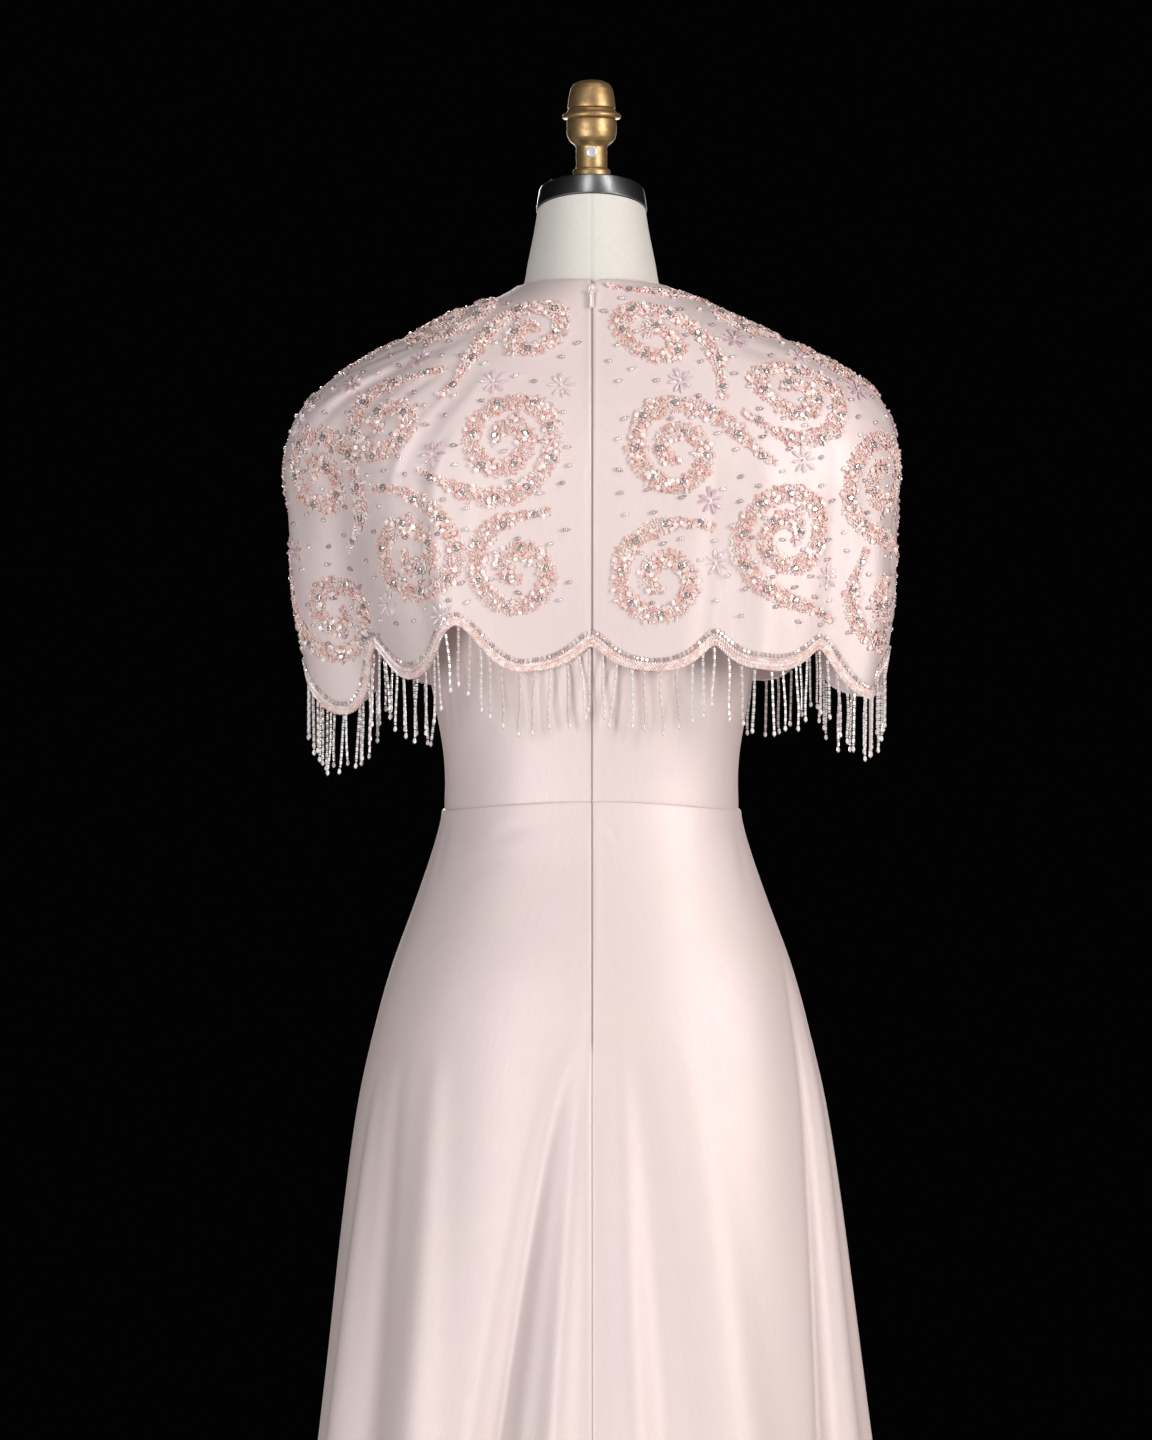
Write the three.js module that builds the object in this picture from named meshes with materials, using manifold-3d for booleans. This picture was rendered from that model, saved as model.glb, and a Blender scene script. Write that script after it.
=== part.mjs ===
// A satin evening gown with a beaded shoulder cape, dressed on a limbless dress form. The form
// stands on a pole and a round base. The gown is a fitted bodice and a long flared skirt, joined
// at the waist and closed by one zip down the centre back. The cape is sewn in at the neckline
// and into the zip, has a scalloped edge with a bead band, and a bead fringe hangs from it.
//
// Millimetres, +Z up, the floor at z = 0. The gown's front faces -Y and its zip faces +Y, so the
// wearer's left is +X. Heights in the tables are measured up from the waist seam.

import * as THREE from "three";
import { mergeVertices } from "three/addons/utils/BufferGeometryUtils.js";
import Module from "manifold-3d";

const degrees = Math.PI / 180;
const centreBack = 90 * degrees;
const leftSide = 0;
const rightSide = 180 * degrees;

// Driving dimensions
const waistHeight = 1095;
const hemHeight = 18;
const cloth = 1.2; // thickness of a cloth wall
const gap = 0.3; // between pieces that meet
const zipLength = 595;

// ---------------------------------------------------------------------------------------------
// Surfaces through rings
// ---------------------------------------------------------------------------------------------

// left, right, back and front are how far a ring reaches to +X, -X, +Y and -Y, and leftUp to
// frontUp are its heights there. square is its superellipse power, and 2 makes an ellipse. turn
// says how the height runs from the sides to the back and front: 1 lies in a tilted plane, and 2
// is rounder. In a table with the columns side and sideUp, both sides are alike.
const ringColumns = ["sideUp", "backUp", "frontUp", "side", "back", "front", "square", "turn"];

function table(columns, rows) {
  return rows.map((row) => Object.fromEntries(columns.map((name, i) => [name, row[i]])));
}

const bothSides = (ring) => ({
  ...ring,
  left: ring.side,
  right: ring.side,
  leftUp: ring.sideUp,
  rightUp: ring.sideUp,
});

// The ring at a place that runs from 0 at a table's first row: a Catmull-Rom curve through the
// rows, column by column.
function ringAt(rings, place) {
  const first = Math.min(Math.max(Math.floor(place), 0), rings.length - 2);
  const t = place - first;
  const row = (i) => rings[Math.min(Math.max(i, 0), rings.length - 1)];
  const [a, b, c, d] = [row(first - 1), row(first), row(first + 1), row(first + 2)];
  const curve = (name) =>
    b[name] +
    (t * (c[name] - a[name])) / 2 +
    t * t * (a[name] - 2.5 * b[name] + 2 * c[name] - d[name] / 2) +
    (t * t * t * (3 * (b[name] - c[name]) + d[name] - a[name])) / 2;
  return Object.fromEntries(Object.keys(b).map((name) => [name, curve(name)]));
}

// Angle 0 is the wearer's left side and a quarter turn is the centre back.
function ringPoint(ring, angle) {
  const [c, s] = [Math.cos(angle), Math.sin(angle)];
  const bend = (value) => Math.sign(value) * Math.abs(value) ** (2 / ring.square);
  const [side, sideUp] = c >= 0 ? [ring.left, ring.leftUp] : [ring.right, ring.rightUp];
  const [reach, endUp] = s >= 0 ? [ring.back, ring.backUp] : [ring.front, ring.frontUp];
  const up = sideUp + (endUp - sideUp) * Math.abs(s) ** ring.turn;
  return new THREE.Vector3(side * bend(c), reach * bend(s), waistHeight + up);
}

// How far one angle is from another, between -180 and 180 degrees.
function turnBetween(angle, other) {
  const turn = (angle - other) % (2 * Math.PI);
  return turn - 2 * Math.PI * Math.round(turn / (2 * Math.PI));
}

const bump = (distance, width) => Math.exp(-((distance / width) ** 2));

// A point of a ring, moved out level and square to the ring.
function movedOut(point, ring, angle, distance) {
  const [c, s] = [Math.cos(angle), Math.sin(angle)];
  const across = c / (c >= 0 ? ring.left : ring.right);
  const deep = s / (s >= 0 ? ring.back : ring.front);
  point.x += (distance * across) / Math.hypot(across, deep);
  point.y += (distance * deep) / Math.hypot(across, deep);
  return point;
}

// Folds: a row for each ridge (out above 0) or trough (below 0). It begins at the height fromUp
// and at one angle, grows down to the hem, and drifts to hemAngle there. out is its size and wide
// its half width at the hem, where the half width is in degrees too.
const foldColumns = ["angle", "hemAngle", "out", "wide", "fromUp"];
const foldWideAtTop = 0.35; // of its width at the hem

function foldedBy(folds, angle, up, hemUp) {
  const sizes = folds.map((fold) => {
    const grown = Math.min(Math.max((fold.fromUp - up) / (fold.fromUp - hemUp), 0), 1);
    const fan = Math.sqrt(grown);
    const turn = turnBetween(angle, between(fold.angle, fold.hemAngle, fan) * degrees);
    const wide = fold.wide * between(foldWideAtTop, 1, fan);
    return fold.out * grown ** 0.75 * bump(turn / degrees, wide);
  });
  return sizes.reduce((sum, size) => sum + size, 0);
}

// A point of a surface, moved out along the surface's own normal.
function lifted(surface, { place, angle }, distance) {
  const small = 0.01;
  const point = surface(place, angle);
  const across = surface(place, angle + small).sub(surface(place, angle - small));
  const along = surface(place + small, angle).sub(surface(place - small, angle));
  const normal = across.cross(along).normalize();
  const outward = new THREE.Vector3(Math.cos(angle), Math.sin(angle), 0.5);
  if (normal.dot(outward) < 0) normal.negate();
  return point.addScaledVector(normal, distance);
}

// The angle that lies a distance in millimetres round a ring from another angle.
function angleAlong(surface, place, angle, distance) {
  const small = 0.01;
  const step = surface(place, angle + small).distanceTo(surface(place, angle - small));
  return angle + (distance * 2 * small) / step;
}

const steps = (count) => Array.from({ length: count + 1 }, (_, i) => i / count);
const between = (from, to, share) => from + (to - from) * share;

// ---------------------------------------------------------------------------------------------
// Closed solids from points
// ---------------------------------------------------------------------------------------------

function closedSolid(points, faces) {
  const volume = faces.reduce((sum, [a, b, c]) => {
    return sum + points[a].dot(points[b].clone().cross(points[c]));
  }, 0);
  const outward = volume > 0 ? faces : faces.map(([a, b, c]) => [a, c, b]);
  const geometry = new THREE.BufferGeometry().setFromPoints(points);
  geometry.setIndex(outward.flat());
  geometry.computeVertexNormals();
  return geometry;
}

// A wall between two grids of points with the same rows and columns.
function wallBetween(inside, outside) {
  const [rows, columns] = [inside.length, inside[0].length];
  const points = [...inside.flat(), ...outside.flat()];
  const inner = (r, c) => r * columns + c;
  const outer = (r, c) => rows * columns + inner(r, c);
  const faces = [];
  const quad = (a, b, c, d) => faces.push([a, b, c], [a, c, d]);
  for (let r = 0; r < rows - 1; r++) {
    for (let c = 0; c < columns - 1; c++) {
      quad(outer(r, c), outer(r, c + 1), outer(r + 1, c + 1), outer(r + 1, c));
      quad(inner(r, c), inner(r + 1, c), inner(r + 1, c + 1), inner(r, c + 1));
    }
    quad(outer(r, 0), outer(r + 1, 0), inner(r + 1, 0), inner(r, 0));
    const last = columns - 1;
    quad(outer(r, last), inner(r, last), inner(r + 1, last), outer(r + 1, last));
  }
  for (let c = 0; c < columns - 1; c++) {
    quad(outer(0, c), inner(0, c), inner(0, c + 1), outer(0, c + 1));
    const last = rows - 1;
    quad(outer(last, c), outer(last, c + 1), inner(last, c + 1), inner(last, c));
  }
  return closedSolid(points, faces);
}

// A wall of cloth on a surface, over a grid of places and angles, between two distances from it.
function wall(surface, grid, inner, outer) {
  const layer = (distance) => grid.map((row) => row.map((at) => lifted(surface, at, distance)));
  return wallBetween(layer(inner), layer(outer));
}

// A filled body through closed loops of points, the first and last of them flat.
function bodyThrough(loops) {
  const count = loops[0].length;
  const points = loops.flat();
  const faces = [];
  for (let r = 0; r < loops.length - 1; r++) {
    for (let c = 0; c < count; c++) {
      const [a, b] = [r * count + c, r * count + ((c + 1) % count)];
      faces.push([a, b, b + count], [a, b + count, a + count]);
    }
  }
  for (const [r, end] of [[0, "bottom"], [loops.length - 1, "top"]]) {
    const centre = loops[r].reduce((sum, p) => sum.add(p), new THREE.Vector3());
    points.push(centre.divideScalar(count));
    for (let c = 0; c < count; c++) {
      const edge = [r * count + c, r * count + ((c + 1) % count)];
      if (end === "bottom") edge.reverse();
      faces.push([points.length - 1, ...edge]);
    }
  }
  return closedSolid(points, faces);
}

// A solid turned about Z from [radius, height] pairs that start and end on the axis.
function turned(profile, segments = 36) {
  const geometry = new THREE.LatheGeometry(
    profile.map(([radius, height]) => new THREE.Vector2(radius, height)),
    segments,
  );
  return geometry.rotateX(Math.PI / 2);
}

function box(width, depth, height, x, y, z) {
  return new THREE.BoxGeometry(width, depth, height).translate(x, y, z);
}

// ---------------------------------------------------------------------------------------------
// Cutting and joining
// ---------------------------------------------------------------------------------------------

const wasm = await Module();
wasm.setup();

function manifoldOf(geometry) {
  const bare = geometry.clone();
  bare.deleteAttribute("normal");
  bare.deleteAttribute("uv");
  const merged = mergeVertices(bare, 1e-4);
  const mesh = new wasm.Mesh({
    numProp: 3,
    vertProperties: merged.attributes.position.array,
    triVerts: new Uint32Array(merged.index.array),
  });
  return new wasm.Manifold(mesh);
}

function geometryOf(manifold) {
  const mesh = manifold.getMesh();
  const geometry = new THREE.BufferGeometry();
  geometry.setAttribute("position", new THREE.BufferAttribute(mesh.vertProperties, 3));
  geometry.setIndex(new THREE.BufferAttribute(mesh.triVerts, 1));
  return geometry.toNonIndexed();
}

const joined = (...parts) => geometryOf(parts.map(manifoldOf).reduce((all, one) => all.add(one)));
const cutBy = (body, tool) => geometryOf(manifoldOf(body).subtract(manifoldOf(tool)));

// ---------------------------------------------------------------------------------------------
// Materials
// ---------------------------------------------------------------------------------------------

function finish(color, roughness, metalness = 0) {
  return new THREE.MeshStandardMaterial({ color, roughness, metalness });
}

const satin = finish(0xf0dcda, 0.4);
const beading = finish(0xe6b8ad, 0.35);
const crystalBeads = finish(0xf3e2e0, 0.15);
const zipTapeCloth = finish(0xe9cfcd, 0.7);
const zipEnamel = finish(0xe8cfcf, 0.3, 0.4);
const linen = finish(0xe5dfd9, 0.85);
const steel = finish(0x9a9a9e, 0.3, 1);
const brass = finish(0xb9924f, 0.4, 1);
const nickel = finish(0xd6d9dc, 0.2, 1);
const blackMetal = finish(0x2a2a2c, 0.45, 0.6);

const gownOnForm = new THREE.Group();

function add(name, geometry, material, parent = gownOnForm) {
  const mesh = new THREE.Mesh(geometry, material);
  mesh.name = name;
  parent.add(mesh);
  return mesh;
}

// ---------------------------------------------------------------------------------------------
// The dress form
// ---------------------------------------------------------------------------------------------

// From the flat underside, over the hips, waist, bust and shoulders, to the top of the neck.
const formRings = table(ringColumns, [
  [-330, -330, -330, 150, 98, 96, 2.2, 2],
  [-290, -290, -290, 156, 104, 99, 2.2, 2],
  [-240, -240, -240, 159, 109, 101, 2.2, 2],
  [-195, -195, -195, 160, 112, 102, 2.2, 2],
  [-150, -150, -150, 157, 110, 101, 2.2, 2],
  [-105, -103, -105, 147, 101, 97, 2.2, 2],
  [-65, -61, -65, 132, 89, 91, 2.15, 2],
  [-30, -24, -31, 118, 79, 85, 2.1, 2],
  [0, 8, -2, 113, 75, 82, 2.1, 2],
  [35, 43, 33, 113.5, 76, 84, 2.1, 2],
  [75, 80, 74, 120, 81, 91, 2.1, 2],
  [115, 118, 114, 128, 87, 101, 2.15, 2],
  [155, 156, 154, 135, 93, 112, 2.2, 2],
  [195, 195, 194, 140, 98, 121, 2.2, 2],
  [233, 233, 230, 144, 101.5, 118, 2.2, 2],
  [265, 265, 260, 150, 103, 110, 2.2, 2],
  [294, 290, 284, 162, 101, 100, 2.2, 2],
  [319, 312, 303, 171, 97, 91, 2.2, 2],
  [337, 332, 318, 170, 91, 83, 2.2, 2],
  [351, 352, 330, 154, 83, 76, 2.15, 2],
  [367, 372, 341, 126, 74, 69, 2.1, 2],
  [384, 390, 350, 91, 65, 62.5, 2.05, 2],
  [398, 402, 357, 66, 59, 58, 2, 2],
  [409, 411, 365, 55, 55, 55, 2, 2],
  [430, 435, 393, 50.5, 49, 50, 2, 1.7],
  [452, 460, 437, 46, 44, 47, 2, 1.3],
  [470, 480.6, 458.4, 43, 41, 45, 2, 1],
]).map(bothSides);

const ringOf = { waist: 8, underarm: 15, shoulderPoint: 19.7, neckline: 23, neckTop: 26 };
const bust = { turn: 33 * degrees, wide: 20 * degrees, up: 196, tall: 46, out: 10 };

function formSurface(place, angle) {
  const ring = ringAt(formRings, place);
  const point = ringPoint(ring, angle);
  const up = point.z - waistHeight;
  for (const side of [-1, 1]) {
    const turn = turnBetween(angle, -centreBack + side * bust.turn);
    movedOut(point, ring, angle, bust.out * bump(turn, bust.wide) * bump(up - bust.up, bust.tall));
  }
  return point;
}

const formColumns = 48;
const formLoops = formRings.map((_, place) =>
  steps(formColumns)
    .slice(0, -1)
    .map((share) => formSurface(place, share * 2 * Math.PI)),
);
add("form_torso", bodyThrough(formLoops), linen);

// The steel neck plate leans forward with the top of the neck, and a turned finial stands upright
// on it. Its foot is cut to the slope of the plate.
const neckTop = { y: -2, up: 470, lean: 14.5 * degrees, radius: 44.4, taper: 2.6, height: 17 };
const plateBevel = 1;
const neckPlate = new THREE.Group();
neckPlate.position.set(0, neckTop.y, waistHeight + neckTop.up);
neckPlate.rotation.x = neckTop.lean;
gownOnForm.add(neckPlate);
add(
  "neck_plate",
  turned([
    [0, gap],
    [neckTop.radius, gap],
    [neckTop.radius - neckTop.taper, neckTop.height - plateBevel],
    [neckTop.radius - neckTop.taper - plateBevel, neckTop.height],
    [0, neckTop.height],
  ], 48),
  steel,
  neckPlate,
);

const finialBase = waistHeight + neckTop.up + neckTop.height;
const below = 60; // more than the slope takes off the finial's foot
const slope = box(below, below, below, 0, 0, neckTop.height + gap - below / 2)
  .rotateX(neckTop.lean)
  .translate(0, neckTop.y, -neckTop.height);

// Heights in the finial are measured from the middle of the plate's top.
const finialCup = turned([
  [0, -8],
  [14.8, -8],
  [15, 14.6],
  [14.2, 16],
  [12.4, 16.6],
  [12.4, 33.6],
  [13.6, 35.2],
  [16.8, 37.6],
  [19, 40.6],
  [19.8, 45],
  [20, 50.5],
  [19.6, 55.6],
  [0, 55.6],
]);
const finialCollar = turned([
  [0, 55.6 + gap],
  [22.6, 55.6 + gap],
  [23.6, 57.8],
  [22.8, 59.8],
  [20, 61],
  [18.4, 64],
  [0, 64],
]);
const finialCap = turned([
  [0, 64 + gap],
  [19, 64 + gap],
  [18.8, 68],
  [18, 74],
  [16.8, 79.4],
  [14.4, 83.4],
  [9, 86],
  [3, 86.8],
  [0, 86.9],
]);
for (const [name, geometry] of [
  ["finial_cup", cutBy(finialCup, slope)],
  ["finial_collar", finialCollar],
  ["finial_cap", finialCap],
]) {
  add(name, geometry, brass).position.z = finialBase;
}

// The set screw's head, on the back of the finial's stem.
const screw = { radius: 4.6, head: 2.2, dome: 0.9, stem: 12.4, up: 28.7 };
const screwHead = turned([
  [0, 0],
  [screw.radius, 0],
  [screw.radius, screw.head - screw.dome],
  [screw.radius * 0.7, screw.head - screw.dome * 0.25],
  [0, screw.head],
], 20).rotateX(-Math.PI / 2);
add("finial_screw", screwHead, nickel).position.set(
  0,
  screw.stem + gap,
  finialBase + screw.up,
);

// ---------------------------------------------------------------------------------------------
// The stand
// ---------------------------------------------------------------------------------------------

const base = { radius: 185, height: 7, bevel: 2 };
const socket = { radius: 27, height: 42, bevel: 3 };
const pole = { radius: 16 };
const torsoBottom = waistHeight + formRings[0].sideUp;
const flange = { radius: 60, height: 8 };

add(
  "stand_base",
  turned([
    [0, 0],
    [base.radius, 0],
    [base.radius, base.height - base.bevel],
    [base.radius - base.bevel, base.height],
    [0, base.height],
  ], 64),
  blackMetal,
);
const ring = (inner, outer, low, high, bevel) =>
  turned([
    [inner, low],
    [outer, low],
    [outer, high - bevel],
    [outer - bevel, high],
    [inner, high],
    [inner, low],
  ]);
add(
  "stand_socket",
  ring(pole.radius + gap, socket.radius, base.height + gap, socket.height, socket.bevel),
  blackMetal,
);
add(
  "stand_pole",
  turned([
    [0, base.height + gap],
    [pole.radius, base.height + gap],
    [pole.radius, torsoBottom - gap],
    [0, torsoBottom - gap],
  ]),
  blackMetal,
);
add(
  "form_flange",
  ring(pole.radius + gap, flange.radius, torsoBottom - gap - flange.height, torsoBottom - gap, 1),
  blackMetal,
);

// ---------------------------------------------------------------------------------------------
// The bodice
// ---------------------------------------------------------------------------------------------

// How far the inside of the bodice lies off the form. It rests on the shoulders, leaves room for
// the zip tape down the centre back, and is drawn in below the waist, where the skirt's top lies
// over it.
const ease = { waist: 3.2, drawnIn: 3, neckline: 0.8, zip: 2.8, zipWide: 18 };
const bodiceBottom = 7.6; // as a place in the form's rings
const armhole = { turn: 40 * degrees };

function easeAt(place, angle) {
  const share = (place - ringOf.waist) / (ringOf.neckline - ringOf.waist);
  const upward = between(ease.waist, ease.neckline, Math.min(Math.max(share, 0), 1) ** 2);
  const plain = upward - ease.drawnIn * Math.max(ringOf.waist - place, 0);
  const more = Math.max(ease.zip - plain, 0);
  const fromZip = turnBetween(angle, centreBack) * ringAt(formRings, place).back;
  return plain + more * bump(fromZip, ease.zipWide);
}

const bodiceInside = (place, angle) =>
  lifted(formSurface, { place, angle }, easeAt(place, angle));

// Half the angle that the armhole takes out of a ring.
function armholeTurn(place) {
  const middle = (ringOf.underarm + ringOf.shoulderPoint) / 2;
  const share = (place - middle) / (ringOf.shoulderPoint - middle);
  return armhole.turn * Math.sqrt(Math.max(1 - share * share, 0));
}

// The form's own rings, so that the walls stay parallel, but closer together at both ends of the
// armhole.
const armholeRows = 10;
const armholePlaces = steps(armholeRows).map((share) => {
  const half = (ringOf.shoulderPoint - ringOf.underarm) / 2;
  return ringOf.underarm + half - half * Math.cos(Math.PI * share);
});
const bodicePlaces = [bodiceBottom];
for (let place = ringOf.waist; place < ringOf.underarm; place++) bodicePlaces.push(place);
bodicePlaces.push(...armholePlaces);
const overShoulder = Math.ceil(ringOf.shoulderPoint);
for (let place = overShoulder; place <= ringOf.neckline; place++) bodicePlaces.push(place);

// A grid between two angles, which can change from ring to ring. Each edge is half a gap short.
function gridBetween(surface, places, columns, fromAngle, toAngle) {
  return places.map((place) => {
    const toward = Math.sign(toAngle(place) - fromAngle(place));
    const from = angleAlong(surface, place, fromAngle(place), (toward * gap) / 2);
    const to = angleAlong(surface, place, toAngle(place), (-toward * gap) / 2);
    return steps(columns).map((share) => ({ place, angle: between(from, to, share) }));
  });
}

const panels = [
  {
    name: "front",
    columns: 2,
    from: (open) => rightSide + open,
    to: (open) => 2 * Math.PI - open,
  },
  { name: "back_left", columns: 1, from: (open) => leftSide + open, to: () => centreBack },
  { name: "back_right", columns: 1, from: (open) => rightSide - open, to: () => centreBack },
];

const bodiceColumns = 8; // in a quarter turn
for (const { name, columns, from, to } of panels) {
  const grid = gridBetween(
    bodiceInside,
    bodicePlaces,
    columns * bodiceColumns,
    (place) => from(armholeTurn(place)),
    (place) => to(armholeTurn(place)),
  );
  add("bodice_" + name, wall(bodiceInside, grid, 0, cloth), satin);
}

// ---------------------------------------------------------------------------------------------
// The skirt
// ---------------------------------------------------------------------------------------------

const hemUp = hemHeight - waistHeight;
const skirtRings = table(ringColumns, [
  [-7, 4, -9, 119, 82, 88, 2.1, 2],
  [-22, -15, -23, 121.2, 85.5, 91, 2.1, 2],
  [-48, -44, -49, 129, 91.8, 96, 2.1, 2],
  [-85, -83, -85, 142, 103, 103.5, 2.1, 2],
  [-130, -129, -130, 158.5, 115, 110.5, 2.15, 2],
  [-178, -178, -178, 172, 123.5, 116.5, 2.15, 2],
  [-245, -245, -245, 186.5, 133, 125, 2.05, 2],
  [-340, -340, -340, 199.5, 146.5, 139.5, 2, 2],
  [-460, -460, -460, 213, 166, 158.5, 2, 2],
  [-620, -620, -620, 231.5, 191, 184.5, 2, 2],
  [-820, -820, -820, 253.5, 219.5, 212.5, 2, 2],
  [hemUp, hemUp, hemUp, 281, 248, 242, 2, 2],
]).map(bothSides);

// Flutes in the flared cloth. Three of them open just below the end of the zip.
const skirtFolds = table(foldColumns, [
  [89, 56, -26, 5, -180],
  [90.5, 77, 17, 5, -180],
  [95, 102, 8, 5, -170],
  [99, 111, -13, 7, -185],
  [110, 131, 12, 10, -170],
  [164, 138, -22, 3.6, -130],
  [170, 152, 17, 6, -110],
  [177, 172, 14, 5, -190],
  [190, 186, -14, 5, -200],
  [204, 201, 14, 5, -190],
  [210, 214, -22, 6, -220],
  [229, 228, 20, 8, -190],
  [246, 242, -20, 6, -230],
  [262, 260, 16, 8, -200],
  [280, 284, -20, 5.5, -220],
  [298, 297, 18, 8, -190],
  [316, 313, -18, 6, -230],
  [330, 330, 17, 7, -190],
  [350, 352, -16, 6, -240],
  [23, 24, 20, 6.5, -215],
  [34, 36, -20, 6.5, -200],
  [48, 50, 15, 8.5, -190],
]);

function skirtSurface(place, angle) {
  const ring = ringAt(skirtRings, place);
  const point = ringPoint(ring, angle);
  return movedOut(point, ring, angle, foldedBy(skirtFolds, angle, point.z - waistHeight, hemUp));
}

const skirtPlaces = skirtRings.map((_, place) => place);
const skirtColumns = 15; // in a quarter turn
for (const { name, columns, from, to } of panels) {
  const grid = gridBetween(
    skirtSurface,
    skirtPlaces,
    columns * skirtColumns,
    () => from(0),
    () => to(0),
  );
  add("skirt_" + name, wall(skirtSurface, grid, -cloth / 2, cloth / 2), satin);
}

// ---------------------------------------------------------------------------------------------
// The cape
// ---------------------------------------------------------------------------------------------

const capeColumns = [
  ...["leftUp", "rightUp", "backUp", "frontUp"],
  ...["left", "right", "back", "front", "square", "turn"],
];
const capeRings = table(capeColumns, [
  [410, 410, 413, 366, 57.5, 57.5, 59, 58, 2, 2],
  [401, 401, 401, 353, 73, 79.5, 66.5, 69.5, 2.1, 2],
  [389.5, 389.5, 384, 340, 107.5, 104.5, 76.5, 82, 2.2, 2],
  [372, 372, 358, 322, 141, 143, 89, 97, 2.25, 2],
  [352, 352, 330, 299, 179, 185, 99, 113, 2.3, 2],
  [331, 331, 301, 273, 210, 220, 105.5, 127.5, 2.35, 2],
  [305, 305, 270, 244, 232.5, 237, 109, 139, 2.35, 2],
  [270, 270, 240, 216, 240, 245, 110, 146, 2.35, 2],
  [225, 225, 206, 188, 235.5, 243, 109.5, 148.5, 2.35, 2],
  [160, 165, 176, 162, 230, 242, 108.5, 148.5, 2.35, 2],
  [110, 120, 148, 138, 220.5, 237, 107.5, 147, 2.35, 2],
  [68, 80, 108, 98, 211, 229, 106, 145, 2.35, 2],
]);
const lastRing = capeRings.length - 1;
const lastRingLength = 40; // from the last ring but one to the last, all round
const capeHemUp = 90;

// The deepest fold is on the wearer's left back, where the back turns in toward the arm.
const capeFolds = table(foldColumns, [
  [66, 63, 9, 4, 345],
  [34, 31, -27, 19, 366],
  [3, 2, 10, 9, 350],
  [-12, -14, 6, 7, 250],
  [-29, -31, -12, 7, 310],
  [-48, -48, 6, 7, 250],
  [-68, -68, -7, 7, 200],
  [-90, -90, 3, 8, 150],
  [-112, -112, -8, 7, 200],
  [-131, -131, 6, 7, 250],
  [-151, -149, -13, 7, 310],
  [-168, -168, 6, 7, 250],
  [173, 171, -7, 7, 260],
  [156, 155, 6, 7, 290],
  [139, 138, -6, 6, 300],
  [120, 120, 7, 6, 290],
  [110, 109, -8, 4, 270],
]);

// The cape is sewn to the zip, so at the centre back it follows the bodice.
const sewn = { off: 2.1, wide: 13 * degrees };
const sewnLine = steps(ringOf.neckline - ringOf.waist).map((_, i) =>
  lifted(bodiceInside, { place: ringOf.waist + i, angle: centreBack }, cloth + sewn.off),
);

function sewnAt(up) {
  const height = Math.min(waistHeight + up, sewnLine.at(-1).z);
  const upper = sewnLine.findIndex((point) => point.z >= height);
  const [a, b] = [sewnLine[upper - 1], sewnLine[upper]];
  return between(a.y, b.y, (height - a.z) / (b.z - a.z));
}

function capeSurface(place, angle) {
  const ring = ringAt(capeRings, place);
  const point = ringPoint(ring, angle);
  const up = point.z - waistHeight;
  movedOut(point, ring, angle, foldedBy(capeFolds, angle, up, capeHemUp));
  const pull = Math.max(ring.back - sewnAt(up), 0);
  point.y -= pull * bump(turnBetween(angle, centreBack), sewn.wide);
  const atNeck = Math.min(Math.max(1 - place, 0), 1);
  const off = easeAt(ringOf.neckline, angle) + cloth + gap + cloth / 2;
  const neckline = lifted(formSurface, { place: ringOf.neckline, angle }, off);
  return point.lerp(neckline, atNeck);
}

// Angles at shares of the length along the edge of the cape.
function anglesAt(fromAngle, toAngle, shares) {
  const fine = steps(400).map((share) => between(fromAngle, toAngle, share));
  const points = fine.map((angle) => capeSurface(lastRing, angle));
  const lengths = [0];
  for (let i = 1; i < points.length; i++) {
    lengths.push(lengths[i - 1] + points[i].distanceTo(points[i - 1]));
  }
  return shares.map((share) => {
    const wanted = share * lengths.at(-1);
    const i = Math.min(Math.max(lengths.findIndex((length) => length >= wanted), 1), 400);
    return between(fine[i - 1], fine[i], (wanted - lengths[i - 1]) / (lengths[i] - lengths[i - 1]));
  });
}

// For each panel, notches are where its scallops end along the edge, and lifts raise or lower the
// edge from one even in height: at each notch, at each scallop's lowest point, and so on.
const scallop = { height: 32, round: 0.2, columns: 6 };
const scallops = {
  front: { notches: [0, 0.205, 0.36, 0.5, 0.64, 0.795, 1], lifts: Array(13).fill(0) },
  back_left: { notches: [0, 0.3, 0.612, 1], lifts: [0, 0, 8, 10, 9, 0, -13] },
  back_right: { notches: [0, 0.36, 0.667, 1], lifts: [0, 0, -1.5, 10, -9, 0, -13] },
};
const band = { width: 8, thickness: 1.2 };
const fringe = { length: 50, thickness: 2 };

// How far the edge rises above a scallop's lowest point, along a panel counted in scallops. The
// notches between scallops are a little round.
function scallopRise(count, lifts) {
  const round = scallop.round;
  const wave = Math.sqrt(Math.sin(Math.PI * (count % 1)) ** 2 + round ** 2) - round;
  const [i, part] = [Math.floor(2 * count), (2 * count) % 1];
  const lift = between(lifts[i], lifts[i + 1] ?? 0, (1 - Math.cos(Math.PI * part)) / 2);
  return scallop.height * (1 - wave / (Math.sqrt(1 + round ** 2) - round)) + lift;
}

const capeRows = 8;

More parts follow.
